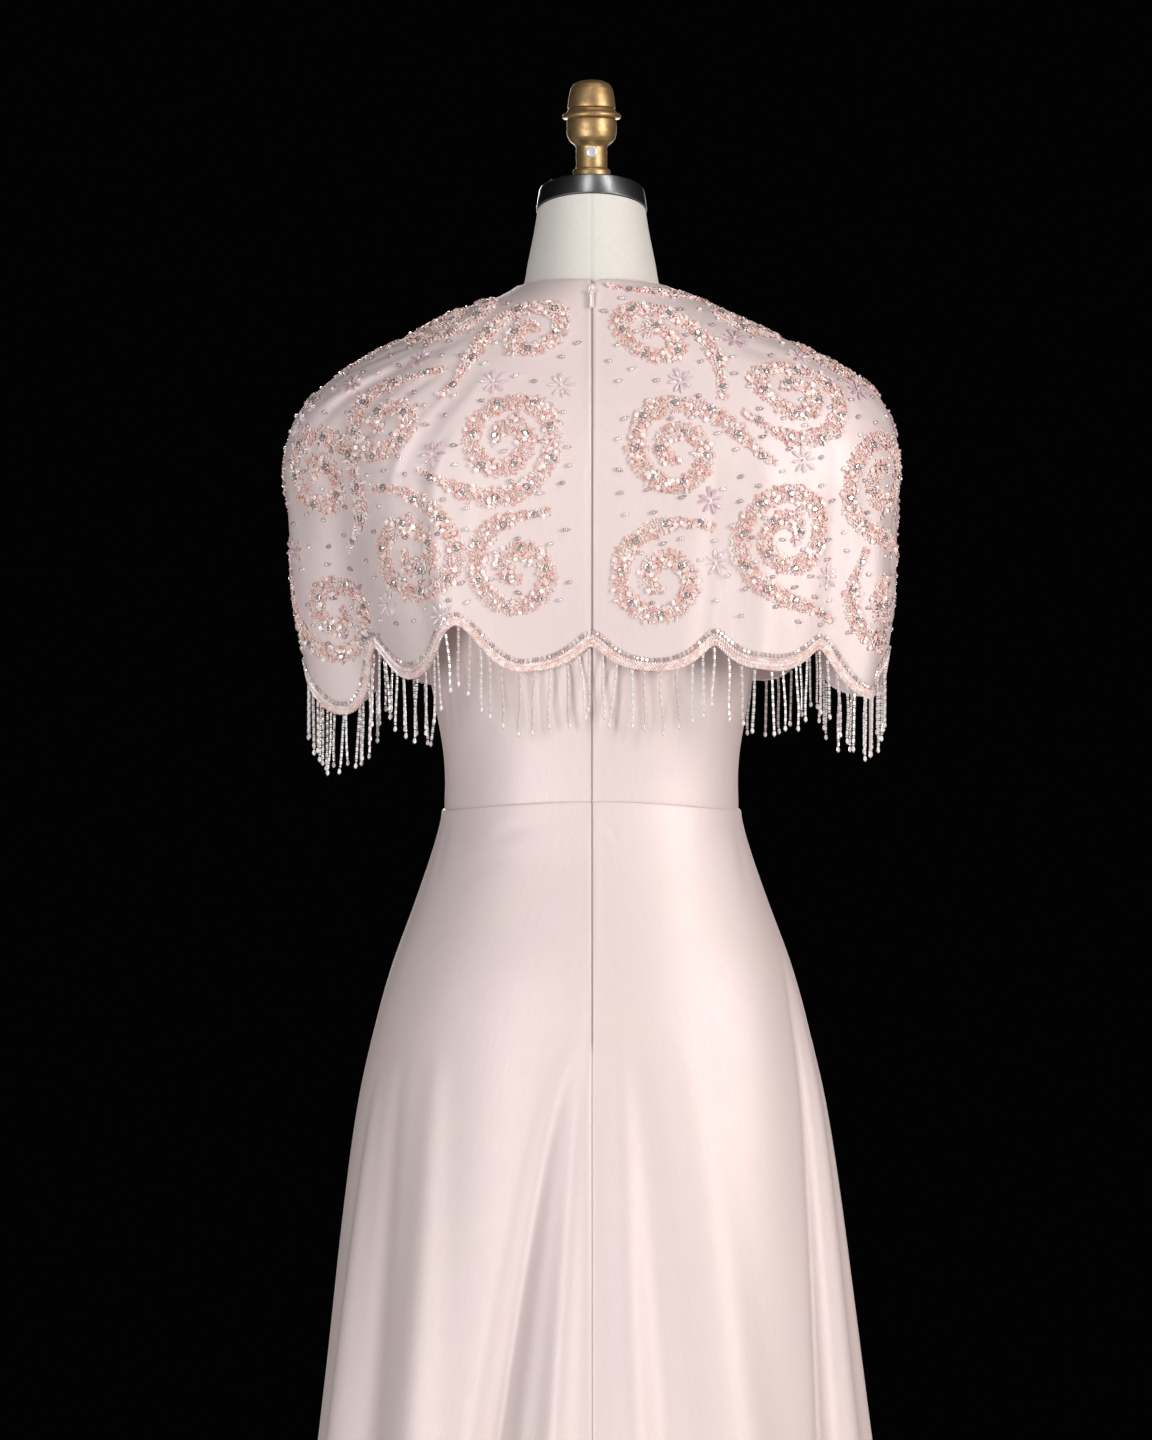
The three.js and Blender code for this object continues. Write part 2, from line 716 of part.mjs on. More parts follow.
for (const { name, from, to } of panels) {
  const { notches, lifts } = scallops[name];
  const toward = Math.sign(to(0) - from(0));
  const start = angleAlong(capeSurface, lastRing, from(0), (toward * gap) / 2);
  const end = angleAlong(capeSurface, lastRing, to(0), (-toward * gap) / 2);
  const counts = steps((notches.length - 1) * scallop.columns).map(
    (share) => share * (notches.length - 1),
  );
  const shares = counts.map((count) =>
    between(notches[Math.floor(count)], notches[Math.floor(count) + 1] ?? 1, count % 1),
  );
  const angles = anglesAt(start, end, shares);
  const edge = angles.map((angle, i) => {
    const rise = scallopRise(counts[i], lifts);
    return { place: lastRing - rise / lastRingLength, angle };
  });
  const bandTop = edge.map(({ place, angle }) => ({
    place: place - band.width / lastRingLength,
    angle,
  }));
  const rows = steps(capeRows).map((share) =>
    bandTop.map(({ place, angle }, i) => {
      // Near the neck a seam's edges stay the same distance apart, not the same angle.
      const atEdge = i === 0 || i === angles.length - 1;
      const seam = i === 0 ? from(0) : to(0);
      const inset = ((i === 0 ? toward : -toward) * gap) / 2;
      const kept = atEdge ? angleAlong(capeSurface, place * share, seam, inset) : angle;
      return { place: place * share, angle: kept };
    }),
  );
  const half = cloth / 2;
  add("cape_" + name, wall(capeSurface, [...rows, edge], -half, half), satin);
  add(
    "cape_band_" + name,
    wall(capeSurface, [bandTop, edge], half + gap, half + gap + band.thickness),
    beading,
  );
  const lowered = (distance, fall) =>
    edge.map((at) => lifted(capeSurface, at, distance).add(new THREE.Vector3(0, 0, -fall)));
  const falls = [2 * gap, fringe.length / 2, fringe.length];
  add(
    "cape_fringe_" + name,
    wallBetween(
      falls.map((fall) => lowered(-half, fall)),
      falls.map((fall) => lowered(fringe.thickness - half, fall)),
    ),
    crystalBeads,
  );
}

// ---------------------------------------------------------------------------------------------
// The zip
// ---------------------------------------------------------------------------------------------

// The tape lies inside the bodice and skirt, behind the seam.
const tape = { half: 11, thickness: 0.8, inside: 0.6 };
const zipTop = ringOf.neckline - 0.4;
const zipEndUp = formRings[ringOf.neckline].backUp - zipLength;

function tapeLayer(surface, places, distance) {
  return places.map((place) =>
    [-1, 0, 1].map((side) => {
      const angle = angleAlong(surface, place, centreBack, side * tape.half);
      return lifted(surface, { place, angle }, distance);
    }),
  );
}

const tapeOnBodice = [zipTop];
for (let place = ringOf.neckline - 1; place >= ringOf.waist; place--) tapeOnBodice.push(place);
tapeOnBodice.push(bodiceBottom - 0.05);
const tapeOnSkirt = skirtPlaces.filter(
  (place) => place > 0 && skirtRings[place].backUp > zipEndUp,
);
const tapeWall = (inner) => {
  const deep = tape.inside + (inner ? tape.thickness : 0);
  return [
    ...tapeLayer(bodiceInside, tapeOnBodice, -deep),
    ...tapeLayer(skirtSurface, tapeOnSkirt, -cloth / 2 - deep),
  ];
};
add("zip_tape", wallBetween(tapeWall(true), tapeWall(false)), zipTapeCloth);

// The slider sits at the top of the zip, on the outside of the cape: an oval plate with a ridge
// down its upper part and a square foot. Its pull tab swings on a cross bar between two ears on
// the foot.
const slider = { place: 0.9, width: 5.6, length: 9.6, plate: 1 };
const ridge = { width: 3, length: 5.4, reach: 2, up: 1.4, topShare: 0.72 };
const ears = { apart: 6, width: 0.9, length: 2.4, reach: 3.7 };
const crossBar = { radius: 0.6, out: 2.8, up: -3.4 };
const pull = { width: 3.6, length: 16, thickness: 0.9, eye: 1.4, hole: 0.9 };

const sliderMiddle = { place: slider.place, angle: centreBack };
const seamBelow = capeSurface(slider.place + 0.5, centreBack);
const seamAbove = capeSurface(slider.place - 0.1, centreBack);
const seamSlope = Math.atan2(seamBelow.y - seamAbove.y, seamAbove.z - seamBelow.z);

// In this group +Y is out from the cloth and +Z is up along it.
const zipHead = new THREE.Group();
zipHead.position.copy(lifted(capeSurface, sliderMiddle, cloth / 2 + gap));
zipHead.rotation.x = seamSlope;
gownOnForm.add(zipHead);

// A round bar along X.
const barAcross = (radius, length, segments) =>
  new THREE.CylinderGeometry(radius, radius, length, segments).rotateZ(Math.PI / 2);

// An upright oval whose bottom is on the cloth.
const ovalOn = ({ width, length }, reach, topShare) =>
  new THREE.CylinderGeometry(topShare, 1, reach, 32)
    .scale(width / 2, 1, length / 2)
    .translate(0, reach / 2, 0);

const sliderPlate = ovalOn(slider, slider.plate, 0.94);
const sliderRidge = ovalOn(ridge, ridge.reach, ridge.topShare).translate(0, 0, ridge.up);
const foot = box(ears.apart, slider.plate, ears.length, 0, slider.plate / 2, crossBar.up);
const twoEars = [-1, 1].map((side) => {
  const across = (side * (ears.apart - ears.width)) / 2;
  return box(ears.width, ears.reach, ears.length, across, ears.reach / 2, crossBar.up);
});
const bar = barAcross(crossBar.radius, ears.apart - ears.width, 12);
bar.translate(0, crossBar.out, crossBar.up);
add("zip_slider", joined(sliderPlate, sliderRidge, foot, ...twoEars, bar), zipEnamel, zipHead);

const tabTop = -pull.hole;
const tabLength = pull.length - pull.eye - pull.hole;
const tab = box(pull.width, pull.thickness, tabLength, 0, 0, tabTop - tabLength / 2);
const eye = barAcross(pull.eye, pull.width, 16);
const eyeHole = barAcross(pull.hole, 2 * pull.width, 16);
const pullTab = add("zip_pull", cutBy(joined(eye, tab), eyeHole), zipEnamel, zipHead);
pullTab.position.set(0, crossBar.out, crossBar.up);

export default gownOnForm;
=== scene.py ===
import math
from random import Random

import bpy
import numpy as np
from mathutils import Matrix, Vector


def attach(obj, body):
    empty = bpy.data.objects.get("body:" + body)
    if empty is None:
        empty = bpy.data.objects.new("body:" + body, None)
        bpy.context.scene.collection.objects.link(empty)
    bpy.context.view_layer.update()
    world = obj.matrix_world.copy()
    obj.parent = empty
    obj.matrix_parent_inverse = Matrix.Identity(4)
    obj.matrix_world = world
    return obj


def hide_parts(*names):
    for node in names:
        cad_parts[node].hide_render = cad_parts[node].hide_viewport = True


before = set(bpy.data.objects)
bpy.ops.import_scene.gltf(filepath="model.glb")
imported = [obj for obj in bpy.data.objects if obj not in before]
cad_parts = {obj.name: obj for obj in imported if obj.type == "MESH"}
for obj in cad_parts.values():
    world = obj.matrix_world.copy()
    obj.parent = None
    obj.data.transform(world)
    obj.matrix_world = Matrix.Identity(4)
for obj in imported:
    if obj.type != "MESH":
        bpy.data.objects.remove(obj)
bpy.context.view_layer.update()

# The tables below are in millimetres, with heights up from the waist seam, +Z up, the gown's front
# at -Y and its zip at +Y. Meshes are turned into metres where they are made.
gown = {
    "waistHeight": 1095,
    "hemHeight": 18,
    "cloth": 1.2,
    "gap": 0.3,
    "zipLength": 595,
    "body": "gown_on_form",
}
degree = math.pi / 180
hemUp = gown["hemHeight"] - gown["waistHeight"]
centreBack, leftSide, rightSide = 90 * degree, 0.0, 180 * degree


# surfaces through rings

def ringTable(rows, columns="sideUp backUp frontUp side back front square turn"):
    table = dict(zip(columns.split(), np.array(rows, float).T))
    for hand in ("left", "right"):
        table.setdefault(hand, table.get("side"))
        table.setdefault(hand + "Up", table.get("sideUp"))
    return table


# A Catmull-Rom curve through the rows, column by column
def ringAt(rings, place):
    last = len(rings["square"]) - 1
    first = np.clip(np.floor(place), 0, last - 1).astype(int)
    t = place - first
    ring = {}
    for name, values in rings.items():
        a, b, c, d = (values[np.clip(first + k, 0, last)] for k in (-1, 0, 1, 2))
        ring[name] = (b + t * (c - a) / 2 + t**2 * (a - 2.5 * b + 2 * c - d / 2)
                      + t**3 * (3 * (b - c) + d - a) / 2)
    return ring


# Angle 0 is the wearer's left side and a quarter turn is the centre back
def ringPoint(ring, angle):
    c, s = np.cos(angle), np.sin(angle)
    bend = lambda value: np.sign(value) * np.abs(value) ** (2 / ring["square"])
    side = np.where(c >= 0, ring["left"], ring["right"])
    sideUp = np.where(c >= 0, ring["leftUp"], ring["rightUp"])
    reach = np.where(s >= 0, ring["back"], ring["front"])
    endUp = np.where(s >= 0, ring["backUp"], ring["frontUp"])
    up = sideUp + (endUp - sideUp) * np.abs(s) ** ring["turn"]
    return np.stack([side * bend(c), reach * bend(s), gown["waistHeight"] + up], -1)


def turnBetween(angle, other):
    turn = angle - other
    return turn - 2 * math.pi * np.round(turn / (2 * math.pi))


def bump(distance, width):
    return np.exp(-((distance / width) ** 2))


def between(start, end, share):
    return start + (end - start) * share


# Level, and square to the ring
def movedOut(point, ring, angle, distance):
    c, s = np.cos(angle), np.sin(angle)
    across = c / np.where(c >= 0, ring["left"], ring["right"])
    deep = s / np.where(s >= 0, ring["back"], ring["front"])
    out = np.stack([across, deep, 0 * across], -1) / np.hypot(across, deep)[..., None]
    return point + out * np.asarray(distance)[..., None]


# A row for each ridge or trough: angle, angle at the hem, size out, half width in degrees, and
# the height that it grows down from
def foldedBy(folds, angle, up, lowest):
    total = 0
    for start, end, out, wide, fromUp in folds:
        grown = np.clip((fromUp - up) / (fromUp - lowest), 0, 1)
        fan = np.sqrt(grown)
        turn = turnBetween(angle, between(start, end, fan) * degree) / degree
        total = total + out * grown**0.75 * bump(turn, wide * between(0.35, 1, fan))
    return total


# A row for each crease: from angle and height, to angle and height, half width, depth (out above
# 0) and how far its middle bows aside
def creasedBy(creases, angle, up, reach):
    total = 0
    for fromAngle, fromUp, toAngle, toUp, wide, deep, bow in creases:
        x = turnBetween(angle, fromAngle * degree) * reach
        y = up - fromUp
        dx, dy = (toAngle - fromAngle) * degree * reach, toUp - fromUp
        length = math.hypot(dx, dy)
        t = np.clip((x * dx + y * dy) / length**2, 0, 1)
        aside = (x * dy - y * dx) / length - bow * 4 * t * (1 - t)
        ends = np.hypot(x - t * dx, y - t * dy) ** 2 - ((x * dy - y * dx) / length) ** 2
        fade = np.sin(math.pi * np.clip(t, 0.02, 0.98)) ** 0.8
        soft = bump(aside, wide) - 0.45 * bump(aside, 2.2 * wide)
        total = total + deep * fade * soft * bump(np.sqrt(np.maximum(ends, 0)), wide)
    return total


# A point, its outward normal, and the directions round and down the surface
def frameOn(surface, place, angle):
    place, angle = np.broadcast_arrays(np.asarray(place, float), np.asarray(angle, float))
    small = 0.01
    point = surface(place, angle)
    across = surface(place, angle + small) - surface(place, angle - small)
    along = surface(place + small, angle) - surface(place - small, angle)
    normal = np.cross(across, along)
    normal /= np.linalg.norm(normal, axis=-1, keepdims=True)
    outward = np.stack([np.cos(angle), np.sin(angle), 0 * angle + 0.5], -1)
    normal *= np.where((normal * outward).sum(-1, keepdims=True) < 0, -1, 1)
    across /= np.linalg.norm(across, axis=-1, keepdims=True)
    return point, normal, across, np.cross(normal, across)


def lifted(surface, place, angle, distance):
    point, normal, _, _ = frameOn(surface, place, angle)
    return point + normal * np.asarray(distance, float)[..., None]


# the form, bodice, skirt and cape as surfaces

formRings = ringTable([
    [-330, -330, -330, 150, 98, 96, 2.2, 2],
    [-290, -290, -290, 156, 104, 99, 2.2, 2],
    [-240, -240, -240, 159, 109, 101, 2.2, 2],
    [-195, -195, -195, 160, 112, 102, 2.2, 2],
    [-150, -150, -150, 157, 110, 101, 2.2, 2],
    [-105, -103, -105, 147, 101, 97, 2.2, 2],
    [-65, -61, -65, 132, 89, 91, 2.15, 2],
    [-30, -24, -31, 118, 79, 85, 2.1, 2],
    [0, 8, -2, 113, 75, 82, 2.1, 2],
    [35, 43, 33, 113.5, 76, 84, 2.1, 2],
    [75, 80, 74, 120, 81, 91, 2.1, 2],
    [115, 118, 114, 128, 87, 101, 2.15, 2],
    [155, 156, 154, 135, 93, 112, 2.2, 2],
    [195, 195, 194, 140, 98, 121, 2.2, 2],
    [233, 233, 230, 144, 101.5, 118, 2.2, 2],
    [265, 265, 260, 150, 103, 110, 2.2, 2],
    [294, 290, 284, 162, 101, 100, 2.2, 2],
    [319, 312, 303, 171, 97, 91, 2.2, 2],
    [337, 332, 318, 170, 91, 83, 2.2, 2],
    [351, 352, 330, 154, 83, 76, 2.15, 2],
    [367, 372, 341, 126, 74, 69, 2.1, 2],
    [384, 390, 350, 91, 65, 62.5, 2.05, 2],
    [398, 402, 357, 66, 59, 58, 2, 2],
    [409, 411, 365, 55, 55, 55, 2, 2],
    [430, 435, 393, 50.5, 49, 50, 2, 1.7],
    [452, 460, 437, 46, 44, 47, 2, 1.3],
    [470, 480.6, 458.4, 43, 41, 45, 2, 1],
])
ringOf = {"waist": 8, "underarm": 15, "shoulderPoint": 19.7, "neckline": 23, "neckTop": 26}
bust = {"turn": 33 * degree, "wide": 20 * degree, "up": 196, "tall": 46, "out": 10}


def formSurface(place, angle):
    ring = ringAt(formRings, place)
    point = ringPoint(ring, angle)
    up = point[..., 2] - gown["waistHeight"]
    for side in (-1, 1):
        turn = turnBetween(angle, side * bust["turn"] - centreBack)
        out = bust["out"] * bump(turn, bust["wide"]) * bump(up - bust["up"], bust["tall"])
        point = movedOut(point, ring, angle, out)
    return point


# How far the inside of the bodice lies off the form
ease = {"waist": 3.2, "drawnIn": 3, "neckline": 0.8, "zip": 2.8, "zipWide": 18}


def easeAt(place, angle):
    share = (place - ringOf["waist"]) / (ringOf["neckline"] - ringOf["waist"])
    plain = between(ease["waist"], ease["neckline"], np.clip(share, 0, 1) ** 2)
    plain = plain - ease["drawnIn"] * np.maximum(ringOf["waist"] - place, 0)
    fromZip = turnBetween(angle, centreBack) * ringAt(formRings, place)["back"]
    return plain + np.maximum(ease["zip"] - plain, 0) * bump(fromZip, ease["zipWide"])


def bodiceInside(place, angle):
    return lifted(formSurface, place, angle, easeAt(place, angle))


skirtRings = ringTable([
    [-7, 4, -9, 119, 82, 88, 2.1, 2],
    [-22, -15, -23, 121.2, 85.5, 91, 2.1, 2],
    [-48, -44, -49, 129, 91.8, 96, 2.1, 2],
    [-85, -83, -85, 142, 103, 103.5, 2.1, 2],
    [-130, -129, -130, 158.5, 115, 110.5, 2.15, 2],
    [-178, -178, -178, 172, 123.5, 116.5, 2.15, 2],
    [-245, -245, -245, 186.5, 133, 125, 2.05, 2],
    [-340, -340, -340, 199.5, 146.5, 139.5, 2, 2],
    [-460, -460, -460, 213, 166, 158.5, 2, 2],
    [-620, -620, -620, 231.5, 191, 184.5, 2, 2],
    [-820, -820, -820, 253.5, 219.5, 212.5, 2, 2],
    [hemUp, hemUp, hemUp, 281, 248, 242, 2, 2],
])
skirtFolds = [
    [89, 56, -26, 5, -180],
    [90.5, 77, 17, 5, -180],
    [95, 102, 8, 5, -170],
    [99, 111, -13, 7, -185],
    [110, 131, 12, 10, -170],
    [164, 138, -22, 3.6, -130],
    [170, 152, 17, 6, -110],
    [177, 172, 14, 5, -190],
    [190, 186, -14, 5, -200],
    [204, 201, 14, 5, -190],
    [210, 214, -22, 6, -220],
    [229, 228, 20, 8, -190],
    [246, 242, -20, 6, -230],
    [262, 260, 16, 8, -200],
    [280, 284, -20, 5.5, -220],
    [298, 297, 18, 8, -190],
    [316, 313, -18, 6, -230],
    [330, 330, 17, 7, -190],
    [350, 352, -16, 6, -240],
    [23, 24, 20, 6.5, -215],
    [34, 36, -20, 6.5, -200],
    [48, 50, 15, 8.5, -190],
]


def skirtSurface(place, angle):
    ring = ringAt(skirtRings, place)
    point = ringPoint(ring, angle)
    up = point[..., 2] - gown["waistHeight"]
    return movedOut(point, ring, angle, foldedBy(skirtFolds, angle, up, hemUp))


capeRings = ringTable([
    [410, 410, 413, 366, 57.5, 57.5, 59, 58, 2, 2],
    [401, 401, 401, 353, 73, 79.5, 66.5, 69.5, 2.1, 2],
    [389.5, 389.5, 384, 340, 107.5, 104.5, 76.5, 82, 2.2, 2],
    [372, 372, 358, 322, 141, 143, 89, 97, 2.25, 2],
    [352, 352, 330, 299, 179, 185, 99, 113, 2.3, 2],
    [331, 331, 301, 273, 210, 220, 105.5, 127.5, 2.35, 2],
    [305, 305, 270, 244, 232.5, 237, 109, 139, 2.35, 2],
    [270, 270, 240, 216, 240, 245, 110, 146, 2.35, 2],
    [225, 225, 206, 188, 235.5, 243, 109.5, 148.5, 2.35, 2],
    [160, 165, 176, 162, 230, 242, 108.5, 148.5, 2.35, 2],
    [110, 120, 148, 138, 220.5, 237, 107.5, 147, 2.35, 2],
    [68, 80, 108, 98, 211, 229, 106, 145, 2.35, 2],
], "leftUp rightUp backUp frontUp left right back front square turn")
lastRing, lastRingLength, capeHemUp = 11, 40, 90
capeFolds = [
    [66, 63, 9, 4, 345],
    [34, 31, -27, 19, 366],
    [3, 2, 10, 9, 350],
    [-12, -14, 6, 7, 250],
    [-29, -31, -12, 7, 310],
    [-48, -48, 6, 7, 250],
    [-68, -68, -7, 7, 200],
    [-90, -90, 3, 8, 150],
    [-112, -112, -8, 7, 200],
    [-131, -131, 6, 7, 250],
    [-151, -149, -13, 7, 310],
    [-168, -168, 6, 7, 250],
    [173, 171, -7, 7, 260],
    [156, 155, 6, 7, 290],
    [139, 138, -6, 6, 300],
    [120, 120, 7, 6, 290],
    [110, 109, -8, 4, 270],
]
sewn = {"off": 2.1, "wide": 13 * degree}
sewnPlaces = np.arange(ringOf["waist"], ringOf["neckline"] + 1.0)
sewnLine = lifted(bodiceInside, sewnPlaces, centreBack + 0 * sewnPlaces,
                  gown["cloth"] + sewn["off"] + 0 * sewnPlaces)


def capeSurface(place, angle):
    ring = ringAt(capeRings, place)
    point = ringPoint(ring, angle)
    height = point[..., 2]
    out = foldedBy(capeFolds, angle, height - gown["waistHeight"], capeHemUp)
    point = movedOut(point, ring, angle, out)
    pull = np.maximum(ring["back"] - np.interp(height, sewnLine[:, 2], sewnLine[:, 1]), 0)
    point[..., 1] -= pull * bump(turnBetween(angle, centreBack), sewn["wide"])
    off = easeAt(ringOf["neckline"], angle) + 1.5 * gown["cloth"] + gown["gap"]
    neckline = lifted(formSurface, ringOf["neckline"] + 0 * place, angle, off)
    return between(point, neckline, np.clip(1 - place, 0, 1)[..., None])


# meshes

# Points in millimetres, and faces as arrays of three or four corners
def meshPiece(name, points, faces, material, slot, body=gown["body"], stands=(), sharp=38,
              values=None, corners=None):
    mesh = bpy.data.meshes.new(name)
    faces = [np.asarray(group, np.int32) for group in faces if len(group)]
    sizes = np.concatenate([np.full(len(group), group.shape[1]) for group in faces])
    loops = np.concatenate([group.ravel() for group in faces])
    mesh.vertices.add(len(points))
    mesh.vertices.foreach_set("co", (np.asarray(points, np.float64) / 1000).ravel())
    mesh.loops.add(len(loops))
    mesh.loops.foreach_set("vertex_index", loops)
    mesh.polygons.add(len(sizes))
    mesh.polygons.foreach_set("loop_start", np.concatenate([[0], np.cumsum(sizes)[:-1]]))
    mesh.polygons.foreach_set("use_smooth", np.full(len(sizes), sharp > 0))
    mesh.update(calc_edges=True)
    for key, array in (values or {}).items():
        array = np.asarray(array, np.float32)
        kind = "FLOAT" if array.ndim == 1 else "FLOAT_COLOR"
        layer = mesh.attributes.new(key, kind, "POINT")
        if array.ndim > 1:
            array = np.concatenate([array, np.ones((len(array), 1), np.float32)], 1)
        layer.data.foreach_set("value" if array.ndim == 1 else "color", array.ravel())
    if corners is not None:  # a place on the flat cloth for each vertex, in metres
        layer = mesh.uv_layers.new(name="flatCloth")
        layer.uv.foreach_set("vector", np.asarray(corners, np.float32)[loops].ravel())
    if sharp > 0:
        mesh.set_sharp_from_angle(angle=sharp * degree)
    mesh.validate()
    piece = bpy.data.objects.new(name, mesh)
    bpy.context.scene.collection.objects.link(piece)
    mesh.materials.append(material)
    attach(piece, body)
    if stands:
        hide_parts(*stands)
    return piece


# Both sides of a grid of points, and the rim round it
def wallFaces(rows, columns):
    index = np.arange(rows * columns).reshape(rows, columns)
    outer, inner = index + rows * columns, index
    quad = lambda a, b, c, d: np.stack([a, b, c, d], -1).reshape(-1, 4)
    side = lambda g: quad(g[:-1, :-1], g[:-1, 1:], g[1:, 1:], g[1:, :-1])
    groups = [side(outer), side(inner)[:, ::-1]]
    for edge in ((slice(None), 0), (-1, slice(None)), (slice(None), -1), (0, slice(None))):
        a, b = outer[edge], inner[edge]
        rim = quad(a[:-1], a[1:], b[1:], b[:-1])
        flip = edge in ((slice(None), -1), (0, slice(None)))
        groups.append(rim[:, ::-1] if flip else rim)
    return np.concatenate(groups)


def signedVolume(points, quads):
    a, b, c, d = (points[quads[:, k]] for k in range(4))
    return (np.einsum("ij,ij->i", a, np.cross(b, c))
            + np.einsum("ij,ij->i", a, np.cross(c, d))).sum() / 6


# The points and outward faces of a closed wall between two grids
def wallBetween(low, high):
    faces = wallFaces(*low.shape[:2])
    points = np.concatenate([low.reshape(-1, 3), high.reshape(-1, 3)])
    return points, faces if signedVolume(points, faces) >= 0 else faces[:, ::-1]


# Several closed bodies as one mesh
def gathered(parts):
    points, quads, corners, start = [], [], [], 0
    for part, *groups in parts:
        for group in groups:
            (quads if group.shape[1] == 4 else corners).append(group + start)
        points.append(part)
        start += len(part)
    kinds = [np.concatenate(kind) for kind in (quads, corners) if kind]
    return np.concatenate(points), kinds


# How far each point is along its line, or along its column of a grid
def lengthsDown(points):
    steps = np.linalg.norm(np.diff(points, axis=0), axis=-1)
    return np.concatenate([0 * steps[:1], np.cumsum(steps, 0)], 0)


# Rows of a table that was made at other places
def tableAt(at, madeAt, table):
    return np.stack([np.interp(at, madeAt, column) for column in table.T], -1)


# Where each panel begins and ends round the body, and which way the armhole moves that side
panels = {
    "front": {"quarters": 2, "from": (rightSide, 1), "to": (2 * math.pi, -1)},
    "back_left": {"quarters": 1, "from": (leftSide, 1), "to": (centreBack, 0)},
    "back_right": {"quarters": 1, "from": (rightSide, -1), "to": (centreBack, 0)},
}
seamHalfGap = 0.06  # between pieces that are sewn to each other
nearSeam = np.array([0, 0.5, 1.1, 1.8, 2.7, 4, 6, 9])  # columns this far from a seam


# A panel's columns, close together near its two seams: the angle of each at every place, how far
# it is along its row, and how long each row is
def columnAngles(surface, places, panel, count, opened=0):
    share = np.linspace(0, 1, 360)
    first, last = (edge + sign * opened + 0 * places
                   for edge, sign in (panel["from"], panel["to"]))
    angles = between(first[:, None], last[:, None], share)
    points = surface(places[:, None] + 0 * angles, angles)
    lengths = lengthsDown(np.swapaxes(points, 0, 1)).T
    result, marks = [], []
    for row, run in enumerate(lengths):
        ends = seamHalfGap + nearSeam
        middle = np.linspace(ends[-1], run[-1] - ends[-1], count + 1)[1:-1]
        marks.append(np.concatenate([ends, middle, run[-1] - ends[::-1]]))
        result.append(np.interp(marks[-1], run, angles[row]))
    return np.array(result), np.array(marks), lengths[:, -1]


# materials

# Acts between two sockets or numbers, for the operators of Value
def acting(operation, flipped=False):
    def act(self, other):
        pair = (other, self) if flipped else (self, other)
        return self.paint.maths(operation, *pair)
    return act


# A socket that carries a number, so that sums with it read as plain sums
class Value:
    def __init__(self, paint, socket):
        self.paint, self.socket = paint, socket

    __add__, __radd__ = acting("ADD"), acting("ADD", True)
    __sub__, __rsub__ = acting("SUBTRACT"), acting("SUBTRACT", True)
    __mul__ = acting("MULTIPLY")


class Paint:
    def __init__(self, name, **shader):
        self.material = bpy.data.materials.new(name)
        self.material.use_nodes = True
        self.nodes, self.links = self.material.node_tree.nodes, self.material.node_tree.links
        self.shader = self.nodes["Principled BSDF"]
        self.set(**shader)

    # roughness=0.4 sets Roughness, and coatWeight=noise feeds Coat Weight
    def set(self, **values):
        for name, value in values.items():
            words = "".join(" " + c if c.isupper() else c for c in name).title()
            self.feed(self.shader.inputs[words], value)
        return self

    def feed(self, socket, value):
        if isinstance(value, Value):
            self.links.new(value.socket, socket)
        elif isinstance(value, tuple) and socket.type == "RGBA":
            socket.default_value = (*value[:3], 1)
        else:
            socket.default_value = value

    def node(self, kind, settings=None, values=None, output=0):
        made = self.nodes.new("ShaderNode" + kind)
        for name, value in (settings or {}).items():
            setattr(made, name, value)
        for name, value in (values or {}).items():
            self.feed(made.inputs[name], value)
        return Value(self, made.outputs[output])

    def maths(self, operation, *values):
        return self.node("Math", {"operation": operation}, dict(enumerate(values)))

    def limit(self, value):
        return self.node("Clamp", None, {"Value": value})

    # Sockets 6 and 7 of a Mix node are its two colours, and output 2 is the mixed one
    def mix(self, share, first, second):
        return self.node("Mix", {"data_type": "RGBA"}, {"Factor": share, 6: first, 7: second}, 2)

    def where(self):
        return self.node("TexCoord", output="Object")

    def flat(self):
        return self.node("UVMap", {"uv_map": "flatCloth"})

    def scaled(self, vector, x, y, z=1.0):
        return self.node("VectorMath", {"operation": "MULTIPLY"}, {0: vector, 1: (x, y, z)})

    def noise(self, vector, scale, detail=2.0, rough=0.5):
        return self.node("TexNoise", None, {"Vector": vector, "Scale": scale, "Detail": detail,
                                            "Roughness": rough})

    def kept(self, name, output="Fac"):
        return self.node("Attribute", {"attribute_name": name}, output=output)

    def bumps(self, height, distance, strength):
        return self.node("Bump", None, {"Height": height, "Distance": distance,
                                        "Strength": strength})


satinLook = {
    "lit": (0.84, 0.70, 0.69),
    "warm": (0.86, 0.725, 0.685),
    "deep": (0.52, 0.33, 0.33),
    # Painted shade: the colour that seams and the zip line are darkened towards, for the shade in
    # their grooves
    "seam": (0.34, 0.24, 0.25),
    "metal": 0.12,
    "roughness": 0.52,
    "sheenWeight": 0.25,
    "slubWide": 0.0006,
    "slubLong": 0.02,
}


def satinPaint(look):
    paint = Paint("satin", metallic=look["metal"], sheenWeight=look["sheenWeight"],
                  sheenRoughness=0.35, sheenTint=(1.0, 0.88, 0.86))
    flat = paint.flat()
    broad = paint.noise(flat, 9.0, 2.0)
    slubs = paint.noise(paint.scaled(flat, 1 / look["slubWide"], 1 / look["slubLong"]), 1.0, 2.0)
    weave = paint.noise(paint.scaled(flat, 1 / 0.00045, 1 / 0.0009), 1.0, 1.0)
    warm = paint.mix(paint.limit((broad - 0.35) * 2.2), look["lit"], look["warm"])
    grain = paint.limit((slubs - 0.5) * 0.35 + (weave - 0.5) * 0.2 + 0.08)
    cloth = paint.mix(grain, warm, look["deep"])
    # Painted shade along the seams and at the zip, as much as the seam attribute gives
    cloth = paint.mix(paint.limit(paint.kept("seam")), cloth, look["seam"])
    height = slubs * 0.6 + weave * 0.4
    paint.set(baseColor=cloth, roughness=look["roughness"] + (slubs - 0.5) * 0.12,
              normal=paint.bumps(height, 0.00006, 0.7))
    return paint.material


